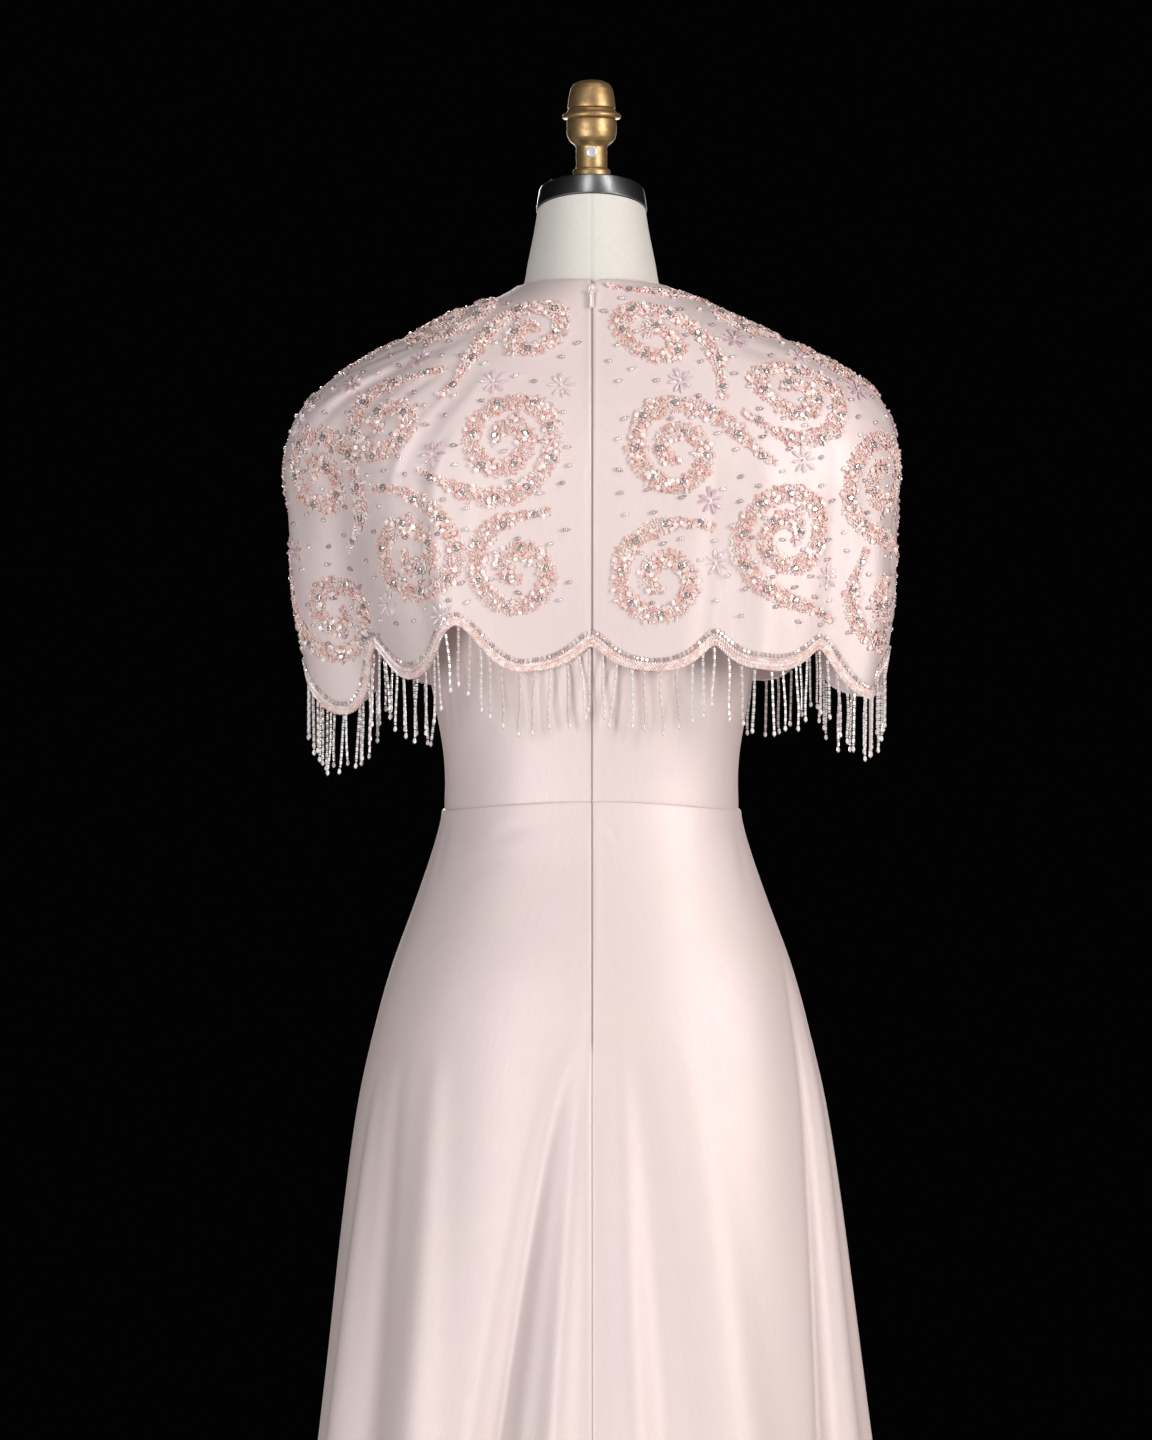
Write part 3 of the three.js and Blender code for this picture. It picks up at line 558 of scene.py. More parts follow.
def plainPaint(name, colour, roughness, **more):
    paint = Paint(name, **more)
    noise = paint.noise(paint.where(), 60.0, 3.0)
    darker = tuple(0.75 * c for c in colour)
    paint.set(baseColor=paint.mix(paint.limit((noise - 0.4) * 1.2), colour, darker),
              roughness=roughness + (noise - 0.5) * 0.15,
              normal=paint.bumps(noise, 0.0002, 0.3))
    return paint.material


satin = satinPaint(satinLook)


# the cloth

# Small unevenness that runs all the way round without a step
def rippled(angle, up, seed, size, tall, deep):
    draw, total = Random(seed), 0
    for _ in range(9):
        turns = round(2 * math.pi * 200 / (size * draw.uniform(0.7, 1.8)))
        rise = 2 * math.pi / (tall * draw.uniform(0.7, 1.8))
        sign, phase = draw.choice((-1, 1)), draw.uniform(0, 7)
        total = total + np.sin(turns * angle + sign * rise * up + phase)
    return total * deep / 3


def roundedEdge(distance, radius):
    inside = np.clip(distance / radius, 0, 1)
    return radius * (1 - np.sqrt(1 - (1 - inside) ** 2))


# Half the angle that the armhole takes out of a ring
def armholeTurn(place):
    middle = (ringOf["underarm"] + ringOf["shoulderPoint"]) / 2
    share = (place - middle) / (ringOf["shoulderPoint"] - middle)
    return 40 * degree * np.sqrt(np.maximum(1 - share * share, 0))


cornerLook = {"down": 6.5, "wide": {"back_left": 4.4, "back_right": 7.5, "front": 1}}
clothLook = {"seamRound": 1.1, "seamShadeWide": 0.9, "sharp": 50}


# The neckline's rounded corners at the zip: how far down a panel begins, in places
def cornerDown(name, fromSeam, angle, placeLong):
    atZip = np.abs(turnBetween(angle, centreBack)) < 45 * degree
    return cornerLook["down"] / placeLong * atZip * bump(fromSeam, cornerLook["wide"][name])


# The cloth stands up a little beside a seam
def seamRidge(look, fromSeam):
    return look["seamRidge"] * bump(fromSeam - look["ridgeFrom"], look["ridgeWide"])


# A wall of cloth over a grid, and the width, length and area of the cloth it was cut from
def clothPiece(name, surface, place, angle, marks, total, inner, outer, relief, seamShade):
    point, normal, _, _ = frameOn(surface, place, angle)
    fromSeam = np.minimum(marks, total - marks)
    rounded = roundedEdge(fromSeam, min(outer - inner, clothLook["seamRound"]))
    points, faces = wallBetween(point + normal * (inner + relief)[..., None],
                                point + normal * (outer + relief - rounded)[..., None])
    flat = np.stack([marks, lengthsDown(point)], -1) / 1000
    # Painted shade along the panel's seams, kept on the outer side in the seam attribute
    shade = seamShade * bump(fromSeam, clothLook["seamShadeWide"])
    seam = np.concatenate([0 * fromSeam.ravel(), shade.ravel()])
    area = np.linalg.norm(np.cross(point[1:, :-1] - point[:-1, :-1],
                                   point[:-1, 1:] - point[:-1, :-1]), axis=-1).sum() / 1e6
    piece = meshPiece(name + "_cloth", points, [faces], satin, "satin",
                      sharp=clothLook["sharp"], values={"seam": seam},
                      corners=np.tile(flat.reshape(-1, 2), (2, 1)), stands=[name])
    cut = [flat[..., 0].max() - flat[..., 0].min(), flat[..., 1].max(), area]
    print(name, "cut from", *(round(float(size), 4) for size in cut))
    return piece, cut


# The bodice. A ripple is a seed, how wide and how tall its waves are, and how deep
bodiceLook = {"columns": 34, "start": 7.6, "below": 46, "armhole": 34, "above": 14,
              "placeLong": 12, "cornerFrom": 21, "ripple": (5, 130, 160, 0.12),
              "rippleFrom": 30, "deepest": -0.1, "seamRidge": 0.35, "ridgeFrom": 3.5,
              "ridgeWide": 2.2, "seamShade": 0.6}
bodicePlaces = np.concatenate([
    np.linspace(bodiceLook["start"], ringOf["underarm"], bodiceLook["below"])[:-1],
    between(ringOf["underarm"], ringOf["shoulderPoint"],
            (1 - np.cos(np.linspace(0, math.pi, bodiceLook["armhole"]))) / 2),
    np.linspace(ringOf["shoulderPoint"], ringOf["neckline"], bodiceLook["above"])[1:],
])
for name, panel in panels.items():
    count = bodiceLook["columns"] * panel["quarters"]
    angles, marks, total = columnAngles(bodiceInside, bodicePlaces, panel, count,
                                        armholeTurn(bodicePlaces))
    places = bodicePlaces[:, None] + 0 * angles
    fromSeam = np.minimum(marks, total[:, None] - marks)
    fall = cornerDown(name, fromSeam[-1:], angles[-1:], bodiceLook["placeLong"])
    places = places - fall * np.clip((places - bodiceLook["cornerFrom"]) / 2, 0, 1)
    up = ringPoint(ringAt(formRings, places), angles)[..., 2] - gown["waistHeight"]
    relief = rippled(angles, up, *bodiceLook["ripple"])
    relief *= np.clip(fromSeam / bodiceLook["rippleFrom"], 0, 1)
    relief = np.maximum(relief, bodiceLook["deepest"]) + seamRidge(bodiceLook, fromSeam)
    piece, cut = clothPiece("bodice_" + name, bodiceInside, places, angles, marks,
                            total[:, None], 0, gown["cloth"], relief, bodiceLook["seamShade"])

# The skirt
skirtLook = {"columns": 84, "rows": 120, "ripple": (8, 150, 420, 0.5), "rippleFrom": 120,
             "creaseReach": 110, "topRound": 2.2, "topDeep": 0.6, "seamRidge": 0.5,
             "ridgeFrom": 3.5, "ridgeWide": 2.4, "ridgeStart": 15, "seamShade": 0.6,
             "shadeEndsUp": -190, "frontShade": 0.1}
skirtCreases = [
    [91, -8, 98, -28, 3.5, -1.3, -3],
    [92, -17, 97, -37, 5, 0.5, -3],
    [70, -16, 50, -30, 7, -0.7, 3],
    [64, -40, 40, -56, 8, -0.6, 4],
    [20, -10, 26, -70, 8, -0.9, 3],
    [160, -14, 150, -80, 9, -0.9, -4],
    [128, -12, 118, -30, 7, -0.4, -3],
    [205, -12, 214, -60, 8, -0.7, 3],
    [250, -10, 244, -48, 7, -0.6, 4],
    [292, -12, 300, -54, 8, -0.7, -4],
    [334, -14, 328, -70, 9, -0.9, 3],
]
skirtPlaces = np.interp(np.linspace(0, 1, skirtLook["rows"]),
                        [0, 0.06, 0.2, 0.4, 1], [0, 0.35, 2.4, 5.2, 11])
for name, panel in panels.items():
    count = skirtLook["columns"] * panel["quarters"]
    angles, marks, total = columnAngles(skirtSurface, skirtPlaces, panel, count)
    places = skirtPlaces[:, None] + 0 * angles
    base = skirtSurface(places, angles)
    up = base[..., 2] - gown["waistHeight"]
    down = lengthsDown(base)
    fromSeam = np.minimum(marks, total[:, None] - marks)
    relief = rippled(angles, up, *skirtLook["ripple"])
    relief *= np.clip(down / skirtLook["rippleFrom"], 0, 1)
    relief += creasedBy(skirtCreases, np.mod(angles, 2 * math.pi), up, skirtLook["creaseReach"])
    relief -= skirtLook["topDeep"] * roundedEdge(down, skirtLook["topRound"])
    relief += seamRidge(skirtLook, fromSeam) * np.clip(down / skirtLook["ridgeStart"], 0, 1)
    shade = skirtLook["frontShade"]
    if name != "front":  # painted shade, dark at the zip and fainter at the seam below it
        shade = skirtLook["seamShade"] * np.clip((up - skirtLook["shadeEndsUp"]) / 10, 0.15, 1)
    piece, cut = clothPiece("skirt_" + name, skirtSurface, places, angles, marks,
                            total[:, None], -gown["cloth"] / 2, gown["cloth"] / 2, relief, shade)

# The cape
capeLook = {"perScallop": 30, "rows": 96, "scallopHeight": 32, "scallopRound": 0.2,
            "placeLong": 14, "ripple": (12, 90, 150, 0.35), "creaseReach": 190,
            "creasesEndUp": 400, "reliefFrom": 25, "backReach": 100, "topRound": 2, "topDeep": 0.5,
            "seamRidge": 0.6, "ridgeFrom": 2.8, "ridgeWide": 1.5, "seamShade": 0.7,
            "frontShade": 0.1}
# Where a panel's scallops end along its edge, and what raises or lowers that edge at each notch,
# at each scallop's lowest point, and so on
scallops = {
    "front": {"notches": [0, 0.205, 0.36, 0.5, 0.64, 0.795, 1], "lifts": [0] * 13},
    "back_left": {"notches": [0, 0.3, 0.612, 1], "lifts": [0, 0, 8, 10, 9, 0, -13]},
    "back_right": {"notches": [0, 0.36, 0.667, 1], "lifts": [0, 0, -1.5, 10, -9, 0, -13]},
}
capeCreases = [
    [50, 372, 20, 300, 7, -2.6, 6],
    [46, 366, 10, 285, 8, 1.6, 8],
    [38, 378, 2, 318, 6, -1.8, 6],
    [54, 350, 38, 250, 6, -2.2, 5],
    [60, 330, 52, 236, 5, 1.6, 3],
    [66, 318, 60, 252, 4.5, -1.4, -2],
    [30, 330, 16, 232, 8, -1.6, 6],
    [134, 360, 158, 322, 8, -1.8, -6],
    [140, 352, 170, 296, 8, 1.2, -8],
    [128, 318, 136, 250, 7, -0.9, 3],
    [106, 340, 111, 280, 6, -0.8, 2],
    [230, 320, 206, 250, 8, -1.8, -6],
    [222, 332, 196, 276, 8, 1.4, -7],
    [310, 320, 334, 250, 8, -1.8, 6],
    [318, 332, 344, 276, 8, 1.4, 7],
    [262, 300, 256, 232, 7, -1.0, -3],
    [284, 296, 290, 226, 7, -1.0, 3],
]


# How far the edge rises above a scallop's lowest point
def scallopRise(share, notches, lifts):
    count = np.interp(share, notches, range(len(notches)))
    first = np.minimum(np.floor(2 * count).astype(int), len(lifts) - 2)
    eased = (1 - np.cos(math.pi * (2 * count - first))) / 2
    lift = between(np.array(lifts)[first], np.array(lifts)[first + 1], eased)
    soft = capeLook["scallopRound"]
    wave = np.hypot(np.sin(math.pi * np.mod(count, 1)), soft) - soft
    return capeLook["scallopHeight"] * (1 - wave / (math.hypot(1, soft) - soft)) + lift


def capeRelief(angle, height):
    up = height - gown["waistHeight"]
    fade = np.clip((capeLook["creasesEndUp"] - up) / 40, 0, 1)
    small = rippled(angle, up, *capeLook["ripple"])
    creases = creasedBy(capeCreases, np.mod(angle, 2 * math.pi), up, capeLook["creaseReach"])
    return fade * (small + creases)


capeEdges, capePieces = {}, {}
capePlaces = np.linspace(0, lastRing, 90)
for name, panel in panels.items():
    count = capeLook["perScallop"] * (len(scallops[name]["notches"]) - 1)
    anglesAt, marksAt, total = columnAngles(capeSurface, capePlaces, panel, count)
    hemShare = marksAt[-1] / total[-1]
    edge = lastRing - scallopRise(hemShare, **scallops[name]) / lastRingLength
    places = edge * np.linspace(0, 1, capeLook["rows"])[:, None]
    columns = range(len(edge))
    angles, marks = (
        np.stack([np.interp(places[:, j], capePlaces, table[:, j]) for j in columns], 1)
        for table in (anglesAt, marksAt))
    runs = np.interp(places, capePlaces, total)
    base = capeSurface(places, angles)
    fromSeam = np.minimum(marks, runs - marks)
    fall = cornerDown(name, fromSeam[:1], angles[:1], capeLook["placeLong"])
    places = places + fall * np.clip((2 - places) / 2, 0, 1)
    down = lengthsDown(base)
    relief = np.clip(fromSeam / capeLook["reliefFrom"], 0, 1) * capeRelief(angles, base[..., 2])
    relief -= capeLook["topDeep"] * roundedEdge(down, capeLook["topRound"])
    relief += seamRidge(capeLook, fromSeam)
    shade = capeLook["frontShade"] if name == "front" else capeLook["seamShade"]
    capePieces[name] = clothPiece("cape_" + name, capeSurface, places, angles, marks, runs,
                                  -gown["cloth"] / 2, gown["cloth"] / 2, relief, shade)
    capeEdges[name] = (edge, angles[-1])


# beads

# A profile of [radius, height] turned about z, as points and triangles
def turned(profile, sides):
    points, faces = [], []
    for radius, height in profile:
        if radius == 0:
            points.append([(0, 0, height)])
        else:
            points.append([(radius * math.cos(2 * math.pi * k / sides),
                            radius * math.sin(2 * math.pi * k / sides), height)
                           for k in range(sides)])
    starts = np.cumsum([0] + [len(ring) for ring in points])
    for r in range(len(points) - 1):
        a, b = starts[r], starts[r + 1]
        for k in range(sides):
            n = (k + 1) % sides
            if len(points[r]) == 1:
                faces.append((a, b + n, b + k))
            elif len(points[r + 1]) == 1:
                faces.append((a + k, a + n, b))
            else:
                faces += [(a + k, a + n, b + n), (a + k, b + n, b + k)]
    return np.array([p for ring in points for p in ring], float), np.array(faces)


# Each is one unit across and at most one long, along z
beadShapes = {
    "seed": turned([(0, -0.4), (0.5, 0), (0, 0.4)], 4),
    "bugle": turned([(0, -0.5), (0.5, -0.42), (0.5, 0.42), (0, 0.5)], 4),
    "sequin": turned([(0, -0.5), (0.5, 0.1), (0, 0.5)], 6),
    "pearl": turned([(0, -0.5), (0.42, -0.27), (0.42, 0.27), (0, 0.5)], 6),
    "petal": turned([(0, -0.5), (0.36, -0.3), (0.5, 0.15), (0, 0.5)], 5),
    "crystal": turned([(0, -0.3), (0.5, -0.1), (0.5, 0.0), (0.3, 0.3), (0, 0.3)], 8),
    "mount": turned([(0, -0.3), (0.5, -0.2), (0.56, 0.02), (0.46, 0.06), (0, -0.1)], 8),
}


# Beads gathered as shape, place, axes (three rows of an orientation), size and colour
class Beads:
    def __init__(self):
        self.rows = {}

    def add(self, shape, place, axes, size, colour):
        self.rows.setdefault(shape, []).append((place, axes, size, colour))

    def piece(self, name, material, slot, sharp=60, **more):
        points, faces, tints, start = [], [], [], 0
        for shape, rows in self.rows.items():
            form, sides = beadShapes[shape]
            place, axes, size, colour = (np.array([row[k] for row in rows]) for k in range(4))
            scaled = form[None] * size[:, None]
            world = np.einsum("nij,njk->nik", scaled, axes) + place[:, None]
            points.append(world.reshape(-1, 3))
            steps = (np.arange(len(rows)) * len(form) + start)[:, None, None]
            faces.append((sides[None] + steps).reshape(-1, 3))
            tints.append(np.repeat(colour, len(form), 0))
            start += len(rows) * len(form)
        faces = np.concatenate(faces)
        print(name, len(faces), "triangles")
        return meshPiece(name, np.concatenate(points), [faces], material, slot, sharp=sharp,
                         values={"tint": np.concatenate(tints)}, **more)


def srgb(text):
    parts = [int(text[k:k + 2], 16) / 255 for k in (0, 2, 4)]
    return tuple(((v + 0.055) / 1.055) ** 2.4 if v > 0.04 else v / 12.92 for v in parts)


def beadPaint(name, roughness, metal, coat, **more):
    paint = Paint(name, metallic=metal, roughness=roughness, coatWeight=coat, coatRoughness=0.05,
                  **more)
    tint = paint.kept("tint", "Color")
    cloudy = paint.noise(paint.where(), 700.0, 2.0)
    darker = paint.mix(0.2, tint, (0.62, 0.42, 0.40))
    paint.set(baseColor=paint.mix(paint.limit((cloudy - 0.45) * 1.5), tint, darker),
              normal=paint.bumps(cloudy, 0.0002, 0.25))
    return paint.material


glassBeads = beadPaint("glassBeads", 0.3, 0.0, 0.4)
crystalPaint = beadPaint("crystalPaint", 0.1, 0.65, 0.4)
pearlPaint = beadPaint("pearlPaint", 0.12, 0.25, 0.6)
fringePaint = beadPaint("fringePaint", 0.14, 0.0, 0.6, transmissionWeight=0.1)


# A table of lengths on the cape, to lay scrolls of true size on it
layoutPlaces = np.linspace(0, lastRing, 221)
layoutAngles = np.linspace(-110, 290, 1201) * degree
layoutGrid = capeSurface(layoutPlaces[:, None] + 0 * layoutAngles,
                         layoutAngles + 0 * layoutPlaces[:, None])
layoutDown = lengthsDown(layoutGrid)
layoutRound = lengthsDown(np.swapaxes(layoutGrid, 0, 1)).T


def capeSpot(angle, down, across, along):
    column = np.interp(angle, layoutAngles, np.arange(len(layoutAngles)))
    profile = layoutDown[:, int(round(column))]
    row = np.interp(down + along, profile, np.arange(len(layoutPlaces)))
    low = np.clip(np.floor(row).astype(int), 0, len(layoutPlaces) - 2)
    spots = []
    for r, t, u in zip(low, row - low, across):
        ends = [np.interp(np.interp(angle, layoutAngles, layoutRound[k]) + u, layoutRound[k],
                          layoutAngles) for k in (r, r + 1)]
        spots.append(between(*ends, t))
    return np.interp(row, np.arange(len(layoutPlaces)), layoutPlaces), np.array(spots)


def capeCloth(place, angle):
    place, angle = np.broadcast_arrays(place, angle)
    base = capeSurface(place, angle)
    fromBack = np.abs(turnBetween(angle, centreBack)) * capeLook["backReach"]
    relief = np.clip(fromBack / capeLook["reliefFrom"], 0, 1) * capeRelief(angle, base[..., 2])
    return movedOut(base, ringAt(capeRings, place), angle, relief)


# Scrolls of the cape's own layout: where the middle is (angle, millimetres down from the neck),
# radius, and how many turns it winds
scrollLook = {"width": 14.6, "pitch": 2.4, "innerShare": 0.14, "crystalEvery": 27, "tail": 118,
              "apart": 13.5, "seed": 2.8, "bugle": (1.8, 1.8, 4.2), "sequin": (4.0, 4.0, 0.9),
              "seeds": 0.62, "bugles": 0.22, "crystal": (4.4, 4.4, 3.2), "mount": (4.8, 4.8, 3.4),
              "crystalOut": 2.1, "crystalTint": "f2eef0", "mountTint": "b8aaaa", "zipClear": 11,
              "beadsOffZip": 4.5,
              "colours": ["f7d7cf", "fae4de", "f3cac1", "fdf0ec", "efc0b5", "f8ddd2", "fdf6f3",
                          "edb9ae", "f6dfda", "fae7e0"]}
scrolls = [
    [71, 58, 30, 1.35], [22, 74, 35, 1.45], [76, 148, 44, 1.85], [47, 172, 34, 1.4],
    [-5, 140, 40, 1.6], [79, 246, 38, 1.5], [57, 262, 42, 1.75], [25, 240, 40, 1.6],
    [-11, 246, 42, 1.6], [22, 352, 38, 1.5], [-17, 350, 40, 1.6], [-68, 64, 32, 1.4],
    [-36, 84, 34, 1.5], [-72, 154, 42, 1.7], [-44, 176, 38, 1.6], [-80, 240, 34, 1.4],
    [-56, 262, 42, 1.7],
    [109, 62, 33, 1.45], [163, 70, 33, 1.35], [103, 156, 40, 1.65], [135, 152, 42, 1.75],
    [178, 158, 38, 1.5], [100, 252, 38, 1.5], [125, 254, 44, 1.85], [157.5, 252, 42, 1.6],
    [195, 248, 40, 1.6], [160, 356, 36, 1.4], [198, 346, 38, 1.5], [248, 66, 32, 1.4],
    [217, 86, 34, 1.4], [252, 150, 42, 1.75], [225, 172, 38, 1.5], [261, 238, 34, 1.4],
    [235, 258, 42, 1.7],
]


# A coil's middle line from its outer end inwards, and the tail that its outer end runs on as,
# in millimetres about its centre
def coilLine(radius, turns, start, spin):
    share = np.linspace(0, 1, 220)
    around = start + spin * share * turns * 2 * math.pi
    reach = radius * between(1, scrollLook["innerShare"], share**0.85)
    return np.stack([reach * np.cos(around), reach * np.sin(around)], -1)


def tailLine(coil, radius, spin, bend):
    heading = coil[0] - coil[1]
    heading, step = math.atan2(heading[1], heading[0]), scrollLook["tail"] / 40
    points = [coil[0]]
    for k in range(40):
        heading += -spin * step / radius * (1 - 2.2 * k / 40 * (0.5 + bend))
        points.append(points[-1] + step * np.array([math.cos(heading), math.sin(heading)]))
    return np.array(points)


# Whether places are clear of the neckline and the hem, by so many rings
def onCape(place, fromNeck, fromHem):
    return (place > fromNeck) & (place < lastRing - fromHem)


# How far a tail runs before it meets another scroll, an edge or the zip
def freeRun(tail, own, centres, reaches, others):
    angle, down = scrolls[own][0] * degree, scrolls[own][1]
    place, around = capeSpot(angle, down, tail[:, 0], tail[:, 1])
    points = capeSurface(place, around)
    apart = scrollLook["apart"]
    for k, point in enumerate(points):
        gaps = np.linalg.norm(centres - point, axis=-1) - reaches - apart
        gaps[own] = 1
        crowded = len(others) and np.linalg.norm(others - point, axis=-1).min() < apart
        back = k > 14 and np.linalg.norm(centres[own] - point) < reaches[own] + apart - 2
        toZip = abs(turnBetween(around[k], centreBack)) * np.hypot(*point[:2])
        nearZip = toZip < scrollLook["zipClear"]
        if gaps.min() < 0 or crowded or back or nearZip or not onCape(place[k], 0.6, 1.3):
            return k, points[:k]
    return len(points), points


def evenly(line, pitch):
    run = lengthsDown(line)
    return tableAt(np.arange(0, run[-1], pitch), run, line), run[-1]


def panelOf(angle):
    turn = math.degrees(angle) % 360
    return "front" if turn > 180 else "back_left" if turn < 90 else "back_right"


beadwork = {name: Beads() for name in panels}
crystals = {name: Beads() for name in panels}
pearls = {name: Beads() for name in panels}
draw = Random(41)


def drawnFrom(colours):
    return srgb(draw.choice(colours))


# Points at a height above the cape's cloth, with its directions across, down and out
def placeBeads(place, angle, height):
    point, normal, across, down = frameOn(capeCloth, place, angle)
    axes = np.stack([across, down, normal], -2)
    return point + normal * (gown["cloth"] / 2 + np.asarray(height))[..., None], axes


standing = 1.57  # the lean of a bead that stands straight out


# The bead's own z axis lies on the cloth, turned about the normal, and leans out
def laid(axes, turn, lean=0.0):
    across, down, normal = axes
    along = math.cos(turn) * across + math.sin(turn) * down
    z = along * math.cos(lean) + normal * math.sin(lean)
    x = np.cross(z, normal)
    x /= np.linalg.norm(x)
    return np.stack([x, np.cross(z, x), z])


reaches = np.array([scroll[2] for scroll in scrolls], float)
centres = np.concatenate([capeSurface(*capeSpot(angle * degree, down, np.zeros(1), np.zeros(1)))
                          for angle, down, _, _ in scrolls])
bandPoints, tails = [], np.zeros((0, 3))
for index, (angle, down, radius, turns) in enumerate(scrolls):
    angle, best = angle * degree, (-1,)
    for start in draw.sample(range(0, 360, 30), 12):
        for spin, bend in ((1, 0.75), (-1, 0.75), (1, 0.2), (-1, 0.2)):
            coil = coilLine(radius, turns, start * degree, spin)
            tail = tailLine(coil, radius, spin, bend)
            count, points = freeRun(tail, index, centres, reaches, tails)
            if count > best[0]:
                best = (count, points, np.concatenate([tail[:count][:0:-1], coil]))
    tails, line = np.concatenate([tails, best[1]]), best[2]
    middle, length = evenly(line, scrollLook["pitch"])
    forward = np.gradient(middle, axis=0)
    forward /= np.linalg.norm(forward, axis=-1, keepdims=True)
    aside = np.stack([-forward[:, 1], forward[:, 0]], -1)
    count = len(middle)
    taper = np.clip(np.arange(count) / 18, 0.45, 1)
    taper *= np.clip((count - np.arange(count)) / 7, 0.5, 1)
    spots, turns = [], []
    for k in range(count):
        half = scrollLook["width"] / 2 * taper[k] * draw.uniform(0.8, 1.15)
        number = max(1, round(2 * half / scrollLook["pitch"]))
        for j in range(number):
            aim = (j + 0.5) / number * 2 - 1
            jog = [draw.uniform(-0.55, 0.55), draw.uniform(-0.55, 0.55)]
            spots.append(middle[k] + aside[k] * (half * aim + jog[0]) + forward[k] * jog[1])
            turns.append(math.atan2(forward[k][1], forward[k][0]))
    spots = np.array(spots)
    place, around = capeSpot(angle, down, spots[:, 0], spots[:, 1])
    middlePlace, middleAngle = capeSpot(angle, down, middle[:, 0], middle[:, 1])
    good = onCape(middlePlace, 0.3, 0.9)
    bandPoints.append(placeBeads(middlePlace[good], middleAngle[good], 0)[0])
    keep = onCape(place, 0.25, 0.85)
    height = np.array([draw.uniform(0.6, 1.1) for _ in place])
    where, axes = placeBeads(place, around, height)
    for k in range(len(place)):
        kind, turn = draw.random(), turns[k] + draw.uniform(-1.2, 1.2)
        colour = drawnFrom(scrollLook["colours"])
        lean, size = draw.uniform(-0.25, 0.5), draw.uniform(0.9, 1.15)
        if not keep[k] or (abs(where[k][0]) < scrollLook["beadsOffZip"] and where[k][1] > 0):
            continue
        home = beadwork[panelOf(around[k])]
        if kind < scrollLook["seeds"]:
            home.add("seed", where[k], laid(axes[k], turn, lean), [scrollLook["seed"] * size] * 3,
                     colour)
        elif kind < scrollLook["seeds"] + scrollLook["bugles"]:
            home.add("bugle", where[k], laid(axes[k], turn, lean),
                     [side * size for side in scrollLook["bugle"]], colour)
        else:
            wide, _, thick = scrollLook["sequin"]
            tilt = laid(axes[k], turn, standing - abs(lean) * 1.6)
            home.add("sequin", where[k] + axes[k][2] * thick, tilt,
                     [wide * size, wide * size, thick], colour)
    for at in np.arange(12, length - 8, scrollLook["crystalEvery"]):
        k = min(int(at / scrollLook["pitch"]), count - 1)
        off = aside[k] * draw.uniform(-2.5, 2.5)
        place, around = capeSpot(angle, down, middle[k:k + 1, 0] + off[0],
                                 middle[k:k + 1, 1] + off[1])
        if not onCape(place[0], 0.3, 0.9):
            continue
        where, axes = placeBeads(place, around, scrollLook["crystalOut"])
        home = crystals[panelOf(around[0])]
        upright = laid(axes[0], draw.uniform(0, 6), standing - 0.1)
        home.add("crystal", where[0], upright, scrollLook["crystal"],
                 srgb(scrollLook["crystalTint"]))
        home.add("mount", where[0], upright, scrollLook["mount"], srgb(scrollLook["mountTint"]))
bandPoints = np.concatenate(bandPoints)
print("scrolls", len(scrolls))


# Stars and pearls in the spaces between the scrolls
scatterLook = {"starTries": 1200, "starGap": 46, "starFromBand": 15, "starOut": 0.7, "petals": 8,
               "petal": 9.2, "petalWide": 3.1, "starMiddle": 2.2, "starBead": (3, 3, 2.6),
               "starBeadTint": "f3e6ea", "pearl": (3.6, 3.7, 4.7), "pearlOut": 1.1,
               "besidePearl": (2.2, 2.2, 2.6), "besideApart": 3.1, "besideShare": 0.4,
               "starColours": ["dcc0c8", "e8d2d7", "d2b4be", "f0e0e2"],
               "pearlTries": 9000, "pearlGap": 14, "pearlFromBand": 8, "pearlFromStar": 13,
               "pearlColours": ["ead9dc", "d3bdc2", "f6f0ef", "bfa7ad"]}


def scattered(tries, apart, keepOff):
    found, spots = np.zeros((0, 3)), []
    places = np.array([lastRing * draw.uniform(0.03, 1) ** 0.6 for _ in range(tries)])
    angles = np.array([draw.uniform(0, 2 * math.pi) for _ in range(tries)])
    rings = capeCloth(places, angles)
    widest, keepOffSeam = 240, 5
    for place, angle, point in zip(places, angles, rings):
        reach = math.hypot(point[0], point[1])
        if draw.random() > reach / widest or place > lastRing - 1.15:
            continue
        if any(np.min(np.abs(turnBetween(angle, seam))) * reach < keepOffSeam
               for seam in (centreBack, leftSide, rightSide)):
            continue
        if any(((points - point) ** 2).sum(1).min() < gap**2 for points, gap in keepOff):
            continue
        if len(found) and ((found - point) ** 2).sum(1).min() < apart**2:
            continue
        found = np.concatenate([found, point[None]])
        spots.append((place, angle))
    return found, np.array(spots)


starPoints, starSpots = scattered(scatterLook["starTries"], scatterLook["starGap"],
                                  [(bandPoints, scatterLook["starFromBand"])])
where, axes = placeBeads(*starSpots.T, scatterLook["starOut"])
for k, (place, angle) in enumerate(starSpots):
    home, turn = beadwork[panelOf(angle)], draw.uniform(0, 1)
    colour = drawnFrom(scatterLook["starColours"])
    for petal in range(scatterLook["petals"]):
        around = turn + petal * 2 * math.pi / scatterLook["petals"] + draw.uniform(-0.12, 0.12)
        long = scatterLook["petal"] * draw.uniform(0.8, 1.1)
        out = math.cos(around) * axes[k][0] + math.sin(around) * axes[k][1]
        home.add("petal", where[k] + out * (scatterLook["starMiddle"] + long / 2),
                 laid(axes[k], around, 0.1),
                 [scatterLook["petalWide"], scatterLook["petalWide"], long], colour)
    home.add("pearl", where[k] + axes[k][2], laid(axes[k], 0, standing), scatterLook["starBead"],
             srgb(scatterLook["starBeadTint"]))
_, pearlSpots = scattered(scatterLook["pearlTries"], scatterLook["pearlGap"],
                          [(bandPoints, scatterLook["pearlFromBand"]),
                           (starPoints, scatterLook["pearlFromStar"])])
